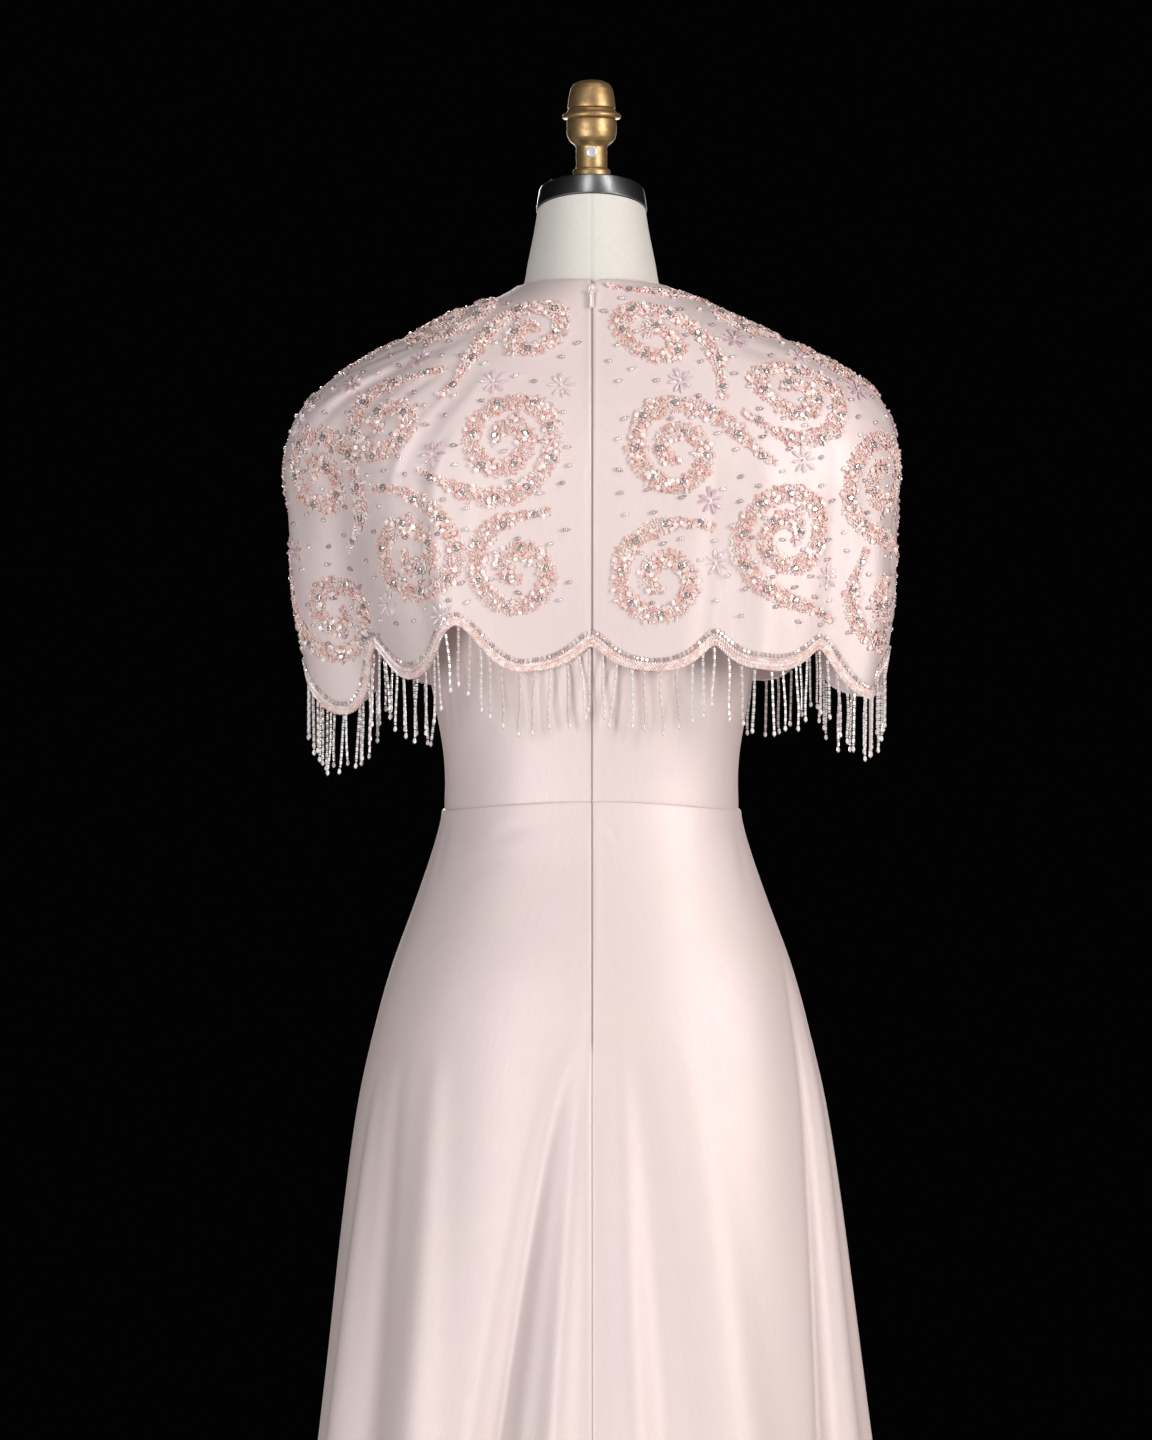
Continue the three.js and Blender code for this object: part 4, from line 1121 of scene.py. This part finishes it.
where, axes = placeBeads(*pearlSpots.T, scatterLook["pearlOut"])
for k, (place, angle) in enumerate(pearlSpots):
    home, turn = pearls[panelOf(angle)], draw.uniform(-0.5, 0.5)
    colour = drawnFrom(scatterLook["pearlColours"])
    home.add("pearl", where[k], laid(axes[k], turn), scatterLook["pearl"], colour)
    if draw.random() < scatterLook["besideShare"]:
        step = math.cos(turn) * axes[k][0] + math.sin(turn) * axes[k][1]
        beside = where[k] + step * scatterLook["besideApart"] - axes[k][2] * 0.3
        home.add("seed", beside, laid(axes[k], turn), scatterLook["besidePearl"], colour)
print("stars", len(starSpots), "pearls", len(pearlSpots))
for name in panels:
    beadwork[name].piece("beadwork_" + name, glassBeads, "beading")
    crystals[name].piece("crystals_" + name, crystalPaint, "crystal_beads", sharp=10)
    pearls[name].piece("pearls_" + name, pearlPaint, "crystal_beads")


# The braid and the row of crystals along the scallops, and the fringe under them
trimLook = {"width": 9, "pitch": 2.3, "rows": [1.4, 4.1, 6.8], "bugle": 4.1, "bugleWide": 2.1,
            "braidColours": ["f5ddd7", "f8e6e1", "f0d1c9", "fbefeb"], "crystalUp": 10.6,
            "crystalPitch": 3.7, "crystal": (3.6, 3.6, 3.4), "ribbon": 0.7,
            "crystalColours": ["f6edeb", "fffcfb", "e3d2ce", "f0e0d9", "cdb9b6"]}
fringeLook = {"every": 12.2, "length": 50, "bead": 2.6, "bugle": 3.6, "drop": 3.3,
              "dropLong": 5.4, "top": 1.2, "askew": 0.25, "sway": 0.05, "askewSway": 0.14,
              "curl": 1.6, "curlLong": 9,
              "colours": ["fbf3f1", "f6e9e7", "fdf9f8", "f2e2e1"], "dropTint": "fbf4f2"}


# Points along a cape's edge, some way above it, a given distance apart
def alongEdge(edge, angles, above, pitch, height):
    place = edge - above / lastRingLength
    line = placeBeads(place, angles, height)[0]
    run = lengthsDown(line)
    marks = np.arange(pitch / 2, run[-1], pitch)
    place, angle = np.interp(marks, run, place), np.interp(marks, run, angles)
    where, axes = placeBeads(place, angle, height)
    heading = np.gradient(where, axis=0)
    turns = np.arctan2((heading * axes[:, 1]).sum(1), (heading * axes[:, 0]).sum(1))
    return place, angle, where, axes, turns


for name in panels:
    edge, angles = capeEdges[name]
    braid, row = Beads(), Beads()
    for index, above in enumerate(trimLook["rows"]):
        _, _, where, axes, turns = alongEdge(edge, angles, above, trimLook["pitch"],
                                             trimLook["ribbon"] + 0.4)
        slant = 0.75 if index % 2 else -0.75
        for k in range(len(where)):
            size = draw.uniform(0.92, 1.08)
            braid.add("bugle", where[k], laid(axes[k], turns[k] + slant, 0.1),
                      [trimLook["bugleWide"]] * 2 + [trimLook["bugle"] * size],
                      drawnFrom(trimLook["braidColours"]))
    _, _, where, axes, turns = alongEdge(edge, angles, trimLook["crystalUp"],
                                         trimLook["crystalPitch"], 1.2)
    for k in range(len(where)):
        row.add("crystal", where[k], laid(axes[k], turns[k], 1.45 + draw.uniform(-0.3, 0.3)),
                trimLook["crystal"], drawnFrom(trimLook["crystalColours"]))
    braid.piece("braid_" + name, glassBeads, "beading", stands=["cape_band_" + name])
    row.piece("hem_crystals_" + name, pearlPaint, "crystal_beads", sharp=10)

    # A ribbon under the braid
    above = np.linspace(trimLook["width"], 0.1, 7)[:, None]
    places, around = edge - above / lastRingLength, angles + 0 * above
    crown = trimLook["ribbon"] * np.sin(math.pi * above / trimLook["width"]) ** 0.5
    points, faces = wallBetween(*(placeBeads(places, around, height)[0]
                                  for height in (0.05 + 0 * crown, 0.1 + crown)))
    columnApart = 2.5
    flat = np.stack([np.cumsum(0 * places + columnApart, 1), above + 0 * places], -1)
    flat = flat.reshape(-1, 2) / 1000
    # Painted shade: the whole ribbon under the braid is darkened a fifth of the way towards the
    # seam shade colour
    meshPiece("ribbon_" + name, points, [faces], satin, "satin",
              values={"seam": np.full(len(points), 0.2)}, corners=np.tile(flat, (2, 1)))

    strings = Beads()
    _, _, where, axes, turns = alongEdge(edge, angles, 0.2, fringeLook["every"], -0.2)
    for k in range(len(where)):
        point = where[k] + axes[k][0] * draw.uniform(-2, 2)
        sway = draw.uniform(-fringeLook["sway"], fringeLook["sway"])
        if draw.random() < fringeLook["askew"]:
            sway += draw.uniform(-fringeLook["askewSway"], fringeLook["askewSway"])
        curl = draw.uniform(-fringeLook["curl"], fringeLook["curl"])
        side, colour = axes[k][0], drawnFrom(fringeLook["colours"])
        phase, length = draw.uniform(0, 6), fringeLook["length"] * draw.uniform(0.93, 1.0)
        at, long = fringeLook["top"], True
        while at < length - fringeLook["dropLong"]:
            size = fringeLook["bugle"] if long else fringeLook["bead"] * 0.9
            middle = at + size / 2
            turn = middle / fringeLook["curlLong"] + phase
            lean = sway + curl * 0.06 * math.cos(turn)
            offset = sway * middle + curl * 0.5 * math.sin(turn)
            place = point + side * offset + np.array([0, 0, -middle])
            z = side * lean + np.array([0, 0, -1.0])
            z /= np.linalg.norm(z)
            x = np.cross(z, axes[k][2])
            x /= np.linalg.norm(x)
            wide = fringeLook["bead"] * (0.86 if long else 1.1)
            strings.add("bugle" if long else "seed", place, np.stack([x, np.cross(z, x), z]),
                        [wide, wide, size * (1.0 if long else 1.25)], colour)
            at, long = at + size, not long
        place = point + side * sway * length + np.array([0, 0, -at - fringeLook["dropLong"] / 2])
        hanging = np.stack([side, np.cross((0, 0, -1.0), side), (0, 0, -1.0)])
        strings.add("petal", place, hanging, [fringeLook["drop"]] * 2 + [fringeLook["dropLong"]],
                    srgb(fringeLook["dropTint"]))
    strings.piece("fringe_" + name, fringePaint, "crystal_beads",
                  stands=["cape_fringe_" + name])

    piece, cut = capePieces[name]
    kinds = ("beadwork", "crystals", "pearls", "braid", "hem_crystals", "ribbon", "fringe")


# the form

# Threads of an uneven plain weave, both ways
def wovenThreads(paint, thread, long):
    flat = paint.flat()
    warp = paint.noise(paint.scaled(flat, 1 / thread, 1 / long), 1.0, 1.0)
    weft = paint.noise(paint.scaled(flat, 1 / long, 1 / thread), 1.0, 1.0)
    return (warp + weft) * 0.5


linenLook = {"colour": (0.80, 0.755, 0.70), "shade": (0.62, 0.575, 0.52), "thread": 0.0007,
             "threadLong": 0.006, "roughness": 0.88}
paint = Paint("linen", sheenWeight=0.15, sheenRoughness=0.5)
weave = wovenThreads(paint, linenLook["thread"], linenLook["threadLong"])
spotty = paint.noise(paint.where(), 14.0, 3.0)
grain = paint.limit((weave - 0.5) * 1.2 + (spotty - 0.45) * 0.3 + 0.15)
cloth = paint.mix(grain, linenLook["colour"], linenLook["shade"])
# Painted shade in the form's seam grooves, from the seam attribute
cloth = paint.mix(paint.limit(paint.kept("seam")), cloth, linenLook["shade"])
paint.set(baseColor=cloth, roughness=linenLook["roughness"] - weave * 0.1,
          normal=paint.bumps(weave, 0.00015, 0.8))
linen = paint.material

formLook = {"columns": 180, "neckFrom": 22, "belowNeck": 100, "neck": 50, "seamReach": 50,
            "seamDeep": 0.35, "seamShade": 0.5, "topRingTall": 21, "topRound": 1.5,
            "topDeep": 0.3}
formPlaces = np.concatenate([
    np.linspace(0, formLook["neckFrom"], formLook["belowNeck"])[:-1],
    np.linspace(formLook["neckFrom"], ringOf["neckTop"], formLook["neck"])])
formTurns = np.linspace(0, 2 * math.pi, formLook["columns"] + 1)[:-1]
places, angles = np.meshgrid(formPlaces, formTurns, indexing="ij")
point, normal, _, _ = frameOn(formSurface, places, angles)
fromSeam = np.minimum(np.abs(turnBetween(angles, centreBack)),
                      np.abs(turnBetween(angles, -centreBack))) * formLook["seamReach"]
# A seam's groove: pressed in, and darkened with painted shade
seam = bump(fromSeam, 1.0)
fromTop = (ringOf["neckTop"] - places) * formLook["topRingTall"]
inset = formLook["seamDeep"] * seam + formLook["topDeep"] * roundedEdge(
    fromTop, formLook["topRound"])
point = point - normal * inset[..., None]
rows, columns = places.shape
index = np.arange(rows * columns).reshape(rows, columns)
ahead = np.roll(index, -1, 1)
faces = np.stack([index[:-1], ahead[:-1], ahead[1:], index[1:]], -1).reshape(-1, 4)
points = point.reshape(-1, 3)
ends = np.stack([point[0].mean(0), point[-1].mean(0)])
caps = [np.stack([ahead[0], index[0], 0 * index[0] + rows * columns], -1),
        np.stack([index[-1], ahead[-1], 0 * index[-1] + rows * columns + 1], -1)]
flat = np.stack([angles * 0.06, -point[..., 2] / 1000], -1).reshape(-1, 2)
meshPiece("form_torso_linen", np.concatenate([points, ends]), [faces, *caps], linen, "linen",
          stands=["form_torso"], corners=np.concatenate([flat, [[0, 0], [0, 0]]]),
          values={"seam": np.concatenate([formLook["seamShade"] * seam.ravel(), [0, 0]])})
print("form")


# the fittings

# A profile of [radius, height] with its corners rounded
def softened(profile, radius, corner=4):
    result = [profile[0]]
    for before, here, after in zip(profile, profile[1:], profile[2:]):
        before, here, after = (np.array(p, float) for p in (before, here, after))
        back, on = before - here, after - here
        cut = min(radius, 0.45 * np.linalg.norm(back), 0.45 * np.linalg.norm(on))
        a, b = here + back / np.linalg.norm(back) * cut, here + on / np.linalg.norm(on) * cut
        for t in np.linspace(0, 1, corner):
            result.append(tuple((1 - t) ** 2 * a + 2 * t * (1 - t) * here + t**2 * b))
    return result + [profile[-1]]


def tilted(points, lean):
    c, s = math.cos(lean), math.sin(lean)
    x, y, z = points.T
    return np.stack([x, c * y - s * z, s * y + c * z], -1)


metalLook = {
    "steel": {"lit": (0.42, 0.42, 0.43), "deep": (0.30, 0.30, 0.315), "roughness": 0.27},
    "brass": {"lit": (0.58, 0.38, 0.18), "deep": (0.33, 0.20, 0.09), "roughness": 0.46,
              "specks": (0.28, 0.17, 0.08)},
    "nickel": {"lit": (0.95, 0.95, 0.96), "deep": (0.82, 0.83, 0.86), "roughness": 0.26},
    "black": {"lit": (0.025, 0.025, 0.027), "deep": (0.06, 0.058, 0.056), "roughness": 0.42},
    "enamel": {"lit": (0.92, 0.80, 0.79), "deep": (0.80, 0.67, 0.67), "roughness": 0.22},
}
look = metalLook["steel"]
paint = Paint("brushedSteel", metallic=1.0)
brushed = paint.noise(paint.scaled(paint.where(), 90, 90, 2200), 1.0, 3.0)
marks = paint.noise(paint.where(), 45.0, 3.0)
paint.set(baseColor=paint.mix(paint.limit(marks * 0.9), look["lit"], look["deep"]),
          roughness=look["roughness"] + brushed * 0.1 + (marks - 0.5) * 0.08,
          normal=paint.bumps(brushed, 0.00004, 0.6))
steel = paint.material

look = metalLook["brass"]
paint = Paint("agedBrass", metallic=0.85)
cloudy = paint.noise(paint.where(), 150.0, 4.0, 0.6)
specks = paint.noise(paint.where(), 900.0, 2.0)
brassTone = paint.mix(paint.limit((cloudy - 0.42) * 3), look["lit"], look["deep"])
brassTone = paint.mix(paint.limit((specks - 0.62) * 4), brassTone, look["specks"])
paint.set(baseColor=brassTone, roughness=look["roughness"] + (cloudy - 0.5) * 0.25,
          normal=paint.bumps(cloudy * 0.5 + specks * 0.5, 0.0003, 0.5))
brass = paint.material

look = metalLook["nickel"]
paint = Paint("nickel", metallic=0.5)
marks = paint.noise(paint.where(), 900.0, 3.0)
paint.set(baseColor=paint.mix(marks, look["lit"], look["deep"]),
          roughness=look["roughness"] + marks * 0.12)
nickel = paint.material

look = metalLook["black"]
paint = Paint("blackMetal", metallic=0.5)
orange = paint.noise(paint.where(), 500.0, 2.0)
dust = paint.noise(paint.where(), 9.0, 4.0)
paint.set(baseColor=paint.mix(paint.limit((dust - 0.45) * 1.5), look["lit"], look["deep"]),
          roughness=look["roughness"] + (dust - 0.5) * 0.25,
          normal=paint.bumps(orange, 0.0001, 0.5))
blackMetal = paint.material

look = metalLook["enamel"]
paint = Paint("zipEnamel", metallic=0.2)
marks = paint.noise(paint.where(), 1500.0, 2.0)
paint.set(baseColor=paint.mix(paint.limit((marks - 0.5) * 2), look["lit"], look["deep"]),
          roughness=look["roughness"] + marks * 0.1)
zipEnamel = paint.material

neckTop = {"y": -2, "up": 470, "lean": 14.5 * degree, "radius": 44.4, "taper": 2.6, "height": 17}
radius, low, high = neckTop["radius"], gown["gap"], neckTop["height"]
plate = softened([(0, low), (radius, low), (radius - neckTop["taper"], high), (0, high)], 1.2)
points, faces = turned(plate, 128)
points = tilted(points, neckTop["lean"]) + (0, neckTop["y"], gown["waistHeight"] + neckTop["up"])
meshPiece("neck_plate_steel", points, [faces], steel, "steel", stands=["neck_plate"], sharp=30)

finialBase = gown["waistHeight"] + neckTop["up"] + neckTop["height"]
cupFoot = 7
finials = {
    "cup": [(0, 0), (14.8, 0), (15, cupFoot), (15, 14.6), (14.2, 16), (12.4, 16.6), (12.4, 33.6),
            (13.6, 35.2), (16.8, 37.6), (19, 40.6), (19.8, 45), (20, 50.5), (19.6, 55.6),
            (0, 55.6)],
    "collar": [(0, 55.9), (22.6, 55.9), (23.6, 57.8), (22.8, 59.8), (20, 61), (18.4, 64), (0, 64)],
    "cap": [(0, 64.3), (19, 64.3), (18.8, 68), (18, 74), (16.8, 79.4), (14.4, 83.4), (9, 86),
            (3, 86.8), (0, 86.9)],
}
for name, profile in finials.items():
    points, faces = turned(softened(profile, 0.9), 96)
    if name == "cup":  # its foot follows the slope of the plate
        share = np.clip(1 - points[:, 2] / cupFoot, 0, 1)
        points[:, 2] += share * (1.5 + points[:, 1] * math.tan(neckTop["lean"]))
    meshPiece("finial_" + name + "_brass", points + (0, 0, finialBase), [faces], brass, "brass",
              stands=["finial_" + name], sharp=32)

screwLook = {"radius": 4.6, "side": 1.3, "height": 2.2, "up": 28.7, "stem": 12.4}
screw = softened([(0, 0), (screwLook["radius"], 0), (screwLook["radius"], screwLook["side"]),
                  (screwLook["radius"] - 1, 1.9), (0, screwLook["height"])], 0.3)
points, faces = turned(screw, 48)
points = np.stack([points[:, 0], points[:, 2], -points[:, 1]], -1)
points += (0, screwLook["stem"] + gown["gap"], finialBase + screwLook["up"])
meshPiece("finial_screw_nickel", points, [faces], nickel, "nickel", stands=["finial_screw"])

# Profile, how far its corners are rounded, and segments
blackParts = {
    "stand_base": ([(0, 0), (185, 0), (185, 5), (183, 7), (0, 7)], 1.5, 128),
    "stand_socket": ([(16.3, 7.3), (27, 7.3), (27, 39), (24, 42), (16.3, 42), (16.3, 7.3)], 1, 64),
    "stand_pole": ([(0, 7.3), (16, 7.3), (16, 764.7), (0, 764.7)], 0.8, 48),
    "form_flange": ([(16.3, 756.7), (60, 756.7), (60, 763.7), (59, 764.7), (16.3, 764.7),
                     (16.3, 756.7)], 0.8, 64),
}
for name, (profile, corner, segments) in blackParts.items():
    points, faces = turned(softened(profile, corner), segments)
    meshPiece(name + "_metal", points, [faces], blackMetal, "black_metal", stands=[name],
              sharp=30)
print("fittings")

# the zip

zipLook = {"tapeWide": 11, "tapeThick": 0.6, "inside": 0.65, "toothPitch": 1.35,
           "toothWide": 2.5, "toothThick": 0.55, "toothIn": 1.0, "rows": 300, "columns": 7,
           "tape": ((0.84, 0.68, 0.66), (0.66, 0.49, 0.48)), "thread": 0.0004,
           "threadLong": 0.004, "teeth": ((0.86, 0.72, 0.70), (0.74, 0.58, 0.56))}
slider = {"place": 0.9, "width": 5.6, "length": 9.6, "plate": 1.0}
sliderRidge = {"width": 3.0, "length": 5.4, "up": 1.4}
ears = {"apart": 6.0, "width": 0.9, "length": 2.4, "reach": 3.7}
crossBar = {"radius": 0.55, "out": 2.8, "up": -3.4}
pull = {"width": 3.4, "down": 14.6, "thickness": 0.9, "eye": 1.35, "hole": 0.95}

paint = Paint("zipTape", sheenWeight=0.2)
weave = wovenThreads(paint, zipLook["thread"], zipLook["threadLong"])
paint.set(baseColor=paint.mix(paint.limit((weave - 0.4) * 2), *zipLook["tape"]),
          roughness=0.8 - weave * 0.1, normal=paint.bumps(weave, 0.00012, 0.8))
zipCloth = paint.material

# The tape is on the inside, a half at each side of the teeth
zipTop, zipEndUp = 22.6, capeRings["backUp"][0] - gown["zipLength"]
zipEnd = np.interp(-zipEndUp, -skirtRings["backUp"], range(12))
onBodice = np.linspace(zipTop, ringOf["waist"], 130)
onSkirt = np.linspace(0.25, zipEnd, 70)
tapeLine = []
for surface, places, deep in ((bodiceInside, onBodice, 0), (skirtSurface, onSkirt, 0.6)):
    point, normal, across, _ = frameOn(surface, places, centreBack + 0 * places)
    tapeLine.append((point - normal * (deep + zipLook["inside"]), normal))
tapeMiddle = np.concatenate([points for points, _ in tapeLine])
tapeOut = np.concatenate([normal for _, normal in tapeLine])
tapeRun = lengthsDown(tapeMiddle)
everywhere = np.linspace(0, tapeRun[-1], zipLook["rows"])
tapeMiddle, tapeOut = (tableAt(everywhere, tapeRun, table) for table in (tapeMiddle, tapeOut))
tapeHalves, flats = [], []
for side in (-1, 1):
    aside = np.linspace(0.4, zipLook["tapeWide"], zipLook["columns"]) * side
    sag = 0.35 * (aside / zipLook["tapeWide"]) ** 2 + 0.02  # follows the round of the waist
    sheets = []
    for depth in (zipLook["tapeThick"], 0):
        sheets.append(tapeMiddle[:, None] - tapeOut[:, None] * (depth + sag)[:, None])
        sheets[-1][..., 0] = aside
        flats.append(np.stack([aside + 0 * everywhere[:, None], everywhere[:, None] + 0 * aside],
                              -1).reshape(-1, 2) / 1000)
    tapeHalves.append(wallBetween(*sheets))
tape = meshPiece("zip_tape_woven", *gathered(tapeHalves), zipCloth, "zip_tape",
                 stands=["zip_tape"], corners=np.concatenate(flats))


# An outline of [x, z] pulled out along +Y from low to high, with a rounded outer edge
def slab(outline, low, high, edge=0.25, x=0, z=0):
    outline = np.array(outline, float)
    inward = -np.roll(outline, 1, 0) + np.roll(outline, -1, 0)
    inward = np.stack([-inward[:, 1], inward[:, 0]], -1)
    inward /= np.linalg.norm(inward, axis=1, keepdims=True)
    rows = [(0, low), (0, high - edge)]
    rows += [(edge * (1 - math.cos(t)), high - edge * (1 - math.sin(t)))
             for t in np.linspace(0, math.pi / 2, 5)[1:]]
    count = len(outline)
    points = [np.insert(outline + inward * inset, 1, y, 1) for inset, y in rows]
    index = np.arange(len(rows) * count).reshape(len(rows), count)
    ahead = np.roll(index, -1, 1)
    sides = np.stack([index[:-1], index[1:], ahead[1:], ahead[:-1]], -1).reshape(-1, 4)
    middle = outline.mean(0)
    ends = np.array([(middle[0], low, middle[1]), (middle[0], high, middle[1])])
    caps = np.concatenate([
        np.stack([index[0], ahead[0], 0 * index[0] + index.size], -1),
        np.stack([ahead[-1], index[-1], 0 * index[0] + index.size + 1], -1)])
    return np.concatenate([*points, ends]) + (x, 0, z), sides, caps


def oval(width, length, count=40):
    turns = np.linspace(0, 2 * math.pi, count + 1)[:-1]
    return np.stack([width / 2 * np.cos(turns), length / 2 * np.sin(turns)], -1)


def roundedBar(width, length, corner, count=6):
    turns = np.linspace(0, math.pi / 2, count)
    result = []
    for quarter, (sx, sz) in enumerate(((1, 1), (-1, 1), (-1, -1), (1, -1))):
        middle = np.array([sx * (width / 2 - corner), sz * (length / 2 - corner)])
        turn = turns + quarter * math.pi / 2
        result.append(middle + corner * np.stack([np.cos(turn), np.sin(turn)], -1))
    return np.concatenate(result)


def upright(part):
    points, faces = part
    return np.stack([points[:, 2], points[:, 0], points[:, 1]], -1), faces


seamBelow = capeSurface(np.array(slider["place"] + 0.5), np.array(centreBack))
seamAbove = capeSurface(np.array(slider["place"] - 0.1), np.array(centreBack))
seamSlope = math.atan2(seamBelow[1] - seamAbove[1], seamAbove[2] - seamBelow[2])
zipHead = lifted(capeSurface, np.array(slider["place"]), np.array(centreBack),
                 gown["cloth"] / 2 + gown["gap"])


def onZip(points):
    return tilted(points, seamSlope) + zipHead


barLong, barRadius = ears["apart"] - 0.4, crossBar["radius"]
sliderParts = [
    slab(oval(slider["width"], slider["length"]), 0, slider["plate"], 0.35),
    slab(oval(sliderRidge["width"], sliderRidge["length"]), 0.2, 2.0, 0.8, z=sliderRidge["up"]),
    slab(roundedBar(ears["apart"], ears["length"], 0.5), 0, slider["plate"], 0.3,
         z=crossBar["up"]),
    *(slab(roundedBar(ears["width"], ears["length"], 0.3), 0.1, ears["reach"], 0.3,
           side * (ears["apart"] - ears["width"]) / 2, crossBar["up"]) for side in (-1, 1)),
]
barProfile = [(0, -barLong / 2), (barRadius, -barLong / 2), (barRadius, barLong / 2),
              (0, barLong / 2)]
points, faces = upright(turned(softened(barProfile, 0.1), 20))
sliderParts.append((points + (0, crossBar["out"], crossBar["up"]), faces))
points, kinds = gathered(sliderParts)
meshPiece("zip_slider_enamel", onZip(points), kinds, zipEnamel, "zip_enamel",
          stands=["zip_slider"])

half = pull["thickness"] / 2
tab = slab(roundedBar(pull["width"], pull["down"] - pull["hole"], 0.9), -half, half, 0.25,
           z=-(pull["down"] + pull["hole"]) / 2)
inset = slab(roundedBar(pull["width"] - 1.4, pull["down"] - 4.6, 0.6), 0, half + 0.14, 0.12,
             z=-(pull["down"] + 1.6) / 2)
wide = pull["width"] / 2
ring = [(pull["hole"], -wide), (pull["eye"] - 0.12, -wide), (pull["eye"], 0.12 - wide),
        (pull["eye"], wide - 0.12), (pull["eye"] - 0.12, wide), (pull["hole"], wide)]
turns = np.linspace(0, 2 * math.pi, 33)[:-1]
eyePoints = np.array([[x, r * math.sin(t), r * math.cos(t)] for t in turns for r, x in ring])
index = np.arange(len(turns) * len(ring)).reshape(len(turns), len(ring))
nextTurn, nextCorner = np.roll(index, -1, 0), np.roll(index, -1, 1)
eyeFaces = np.stack([index, nextCorner, np.roll(nextTurn, -1, 1), nextTurn], -1).reshape(-1, 4)
points, kinds = gathered([tab, inset, (eyePoints, eyeFaces)])
points += (0, crossBar["out"], crossBar["up"])
meshPiece("zip_pull_enamel", onZip(points), kinds, zipEnamel, "zip_enamel", body="zip_pull",
          stands=["zip_pull"])

# The coil's teeth, on the inside of the tape
paint = Paint("nylon", transmissionWeight=0.1)
marks = paint.noise(paint.where(), 900.0, 2.0)
paint.set(baseColor=paint.mix(marks, *zipLook["teeth"]), roughness=0.3 + marks * 0.1)
nylon = paint.material
count = int(everywhere[-1] / zipLook["toothPitch"])
tooth, toothFaces = turned(
    [(0, -0.5), (0.42, -0.46), (0.5, -0.38), (0.5, 0.38), (0.42, 0.46), (0, 0.5)], 6)
tooth *= (zipLook["toothThick"], zipLook["toothThick"], zipLook["toothWide"])
teeth = []
for k in range(count):
    at = (k + 0.5) / count * everywhere[-1]
    middle, out = (tableAt(at, everywhere, table) for table in (tapeMiddle, tapeOut))
    down = np.cross(out, (1, 0, 0))
    for side in (-1, 1):
        place = middle - out * zipLook["toothIn"] + down * side * zipLook["toothPitch"] / 4
        place[0] = side * zipLook["toothThick"]
        teeth.append((place + np.outer(tooth[:, 2], (1, 0, 0)) + np.outer(tooth[:, 0], down)
                      + np.outer(tooth[:, 1], out), toothFaces))
zipTeeth = meshPiece("zip_teeth", *gathered(teeth), nylon, "zip_tape")
print("zip", count, "teeth a side, tape", round(everywhere[-1]), "long")


# floor, lights and camera

studio = {
    "cameraAt": (0.0124, 3.3, 1.3),
    "lookDown": 2.443 * degree,
    "focalShare": 2.8646,  # the lens's focal length as a share of the sensor
    "sensorHeight": 36,
    "worldLight": 0.0008,
    "floorRadius": 2.4,
}
lights = [
    # name, place, what it looks at, width, height, watts, colour
    ["key", (-2.7, 2.2, 1.9), (0, 0, 1.1), 1.1, 1.8, 85, (1.0, 0.975, 0.955)],
    ["fill", (1.7, 3.2, 1.1), (0, 0, 1.1), 1.2, 2.0, 72, (0.96, 0.98, 1.0)],
    ["stripLeft", (0.31, 1.47, 3.4), (0, 0, 1.6), 0.2, 1.0, 6, (1.0, 0.98, 0.96)],
    ["stripRight", (-1.1, 1.0, 3.4), (0, 0, 1.6), 0.2, 1.0, 7, (1.0, 0.98, 0.96)],
    ["front", (0.4, -3.6, 1.6), (0, 0, 1.0), 1.0, 1.8, 62, (1.0, 0.98, 0.96)],
    ["frontFill", (-0.5, -3.6, 1.1), (0, 0, 0.9), 1.0, 1.8, 24, (0.96, 0.98, 1.0)],
]


def aimed(thing, place, target):
    thing.location = place
    direction = Vector(target) - Vector(place)
    thing.rotation_mode = "QUATERNION"
    thing.rotation_quaternion = direction.to_track_quat("-Z", "Y")
    bpy.context.scene.collection.objects.link(thing)
    return thing


for name, place, target, width, height, watts, colour in lights:
    light = bpy.data.lights.new(name, "AREA")
    light.shape, light.size, light.size_y = "RECTANGLE", width, height
    light.energy, light.color = watts, colour
    aimed(bpy.data.objects.new(name, light), place, target)

camera = bpy.data.cameras.new("camera")
camera.sensor_width = studio["sensorHeight"]
camera.lens = studio["sensorHeight"] * studio["focalShare"]
place = Vector(studio["cameraAt"])
look = Vector((0, -math.cos(studio["lookDown"]), -math.sin(studio["lookDown"])))
bpy.context.scene.camera = aimed(bpy.data.objects.new("camera", camera), place, place + look)

world = bpy.data.worlds.new("studio")
world.use_nodes = True
world.node_tree.nodes["Background"].inputs["Color"].default_value = (1, 0.985, 0.97, 1)
world.node_tree.nodes["Background"].inputs["Strength"].default_value = studio["worldLight"]
bpy.context.scene.world = world
bpy.context.scene.view_settings.view_transform = "Standard"

floorPaint = plainPaint("floorPaint", (0.72, 0.69, 0.66), 0.7)
radius, turns = studio["floorRadius"], np.linspace(0, 2 * math.pi, 97)[:-1]
floorMesh = bpy.data.meshes.new("floor")
floorMesh.from_pydata([(radius * math.cos(t), radius * math.sin(t), 0) for t in turns], [],
                      [list(range(len(turns)))])
floorMesh.materials.append(floorPaint)
floor = bpy.data.objects.new("floor", floorMesh)
bpy.context.scene.collection.objects.link(floor)
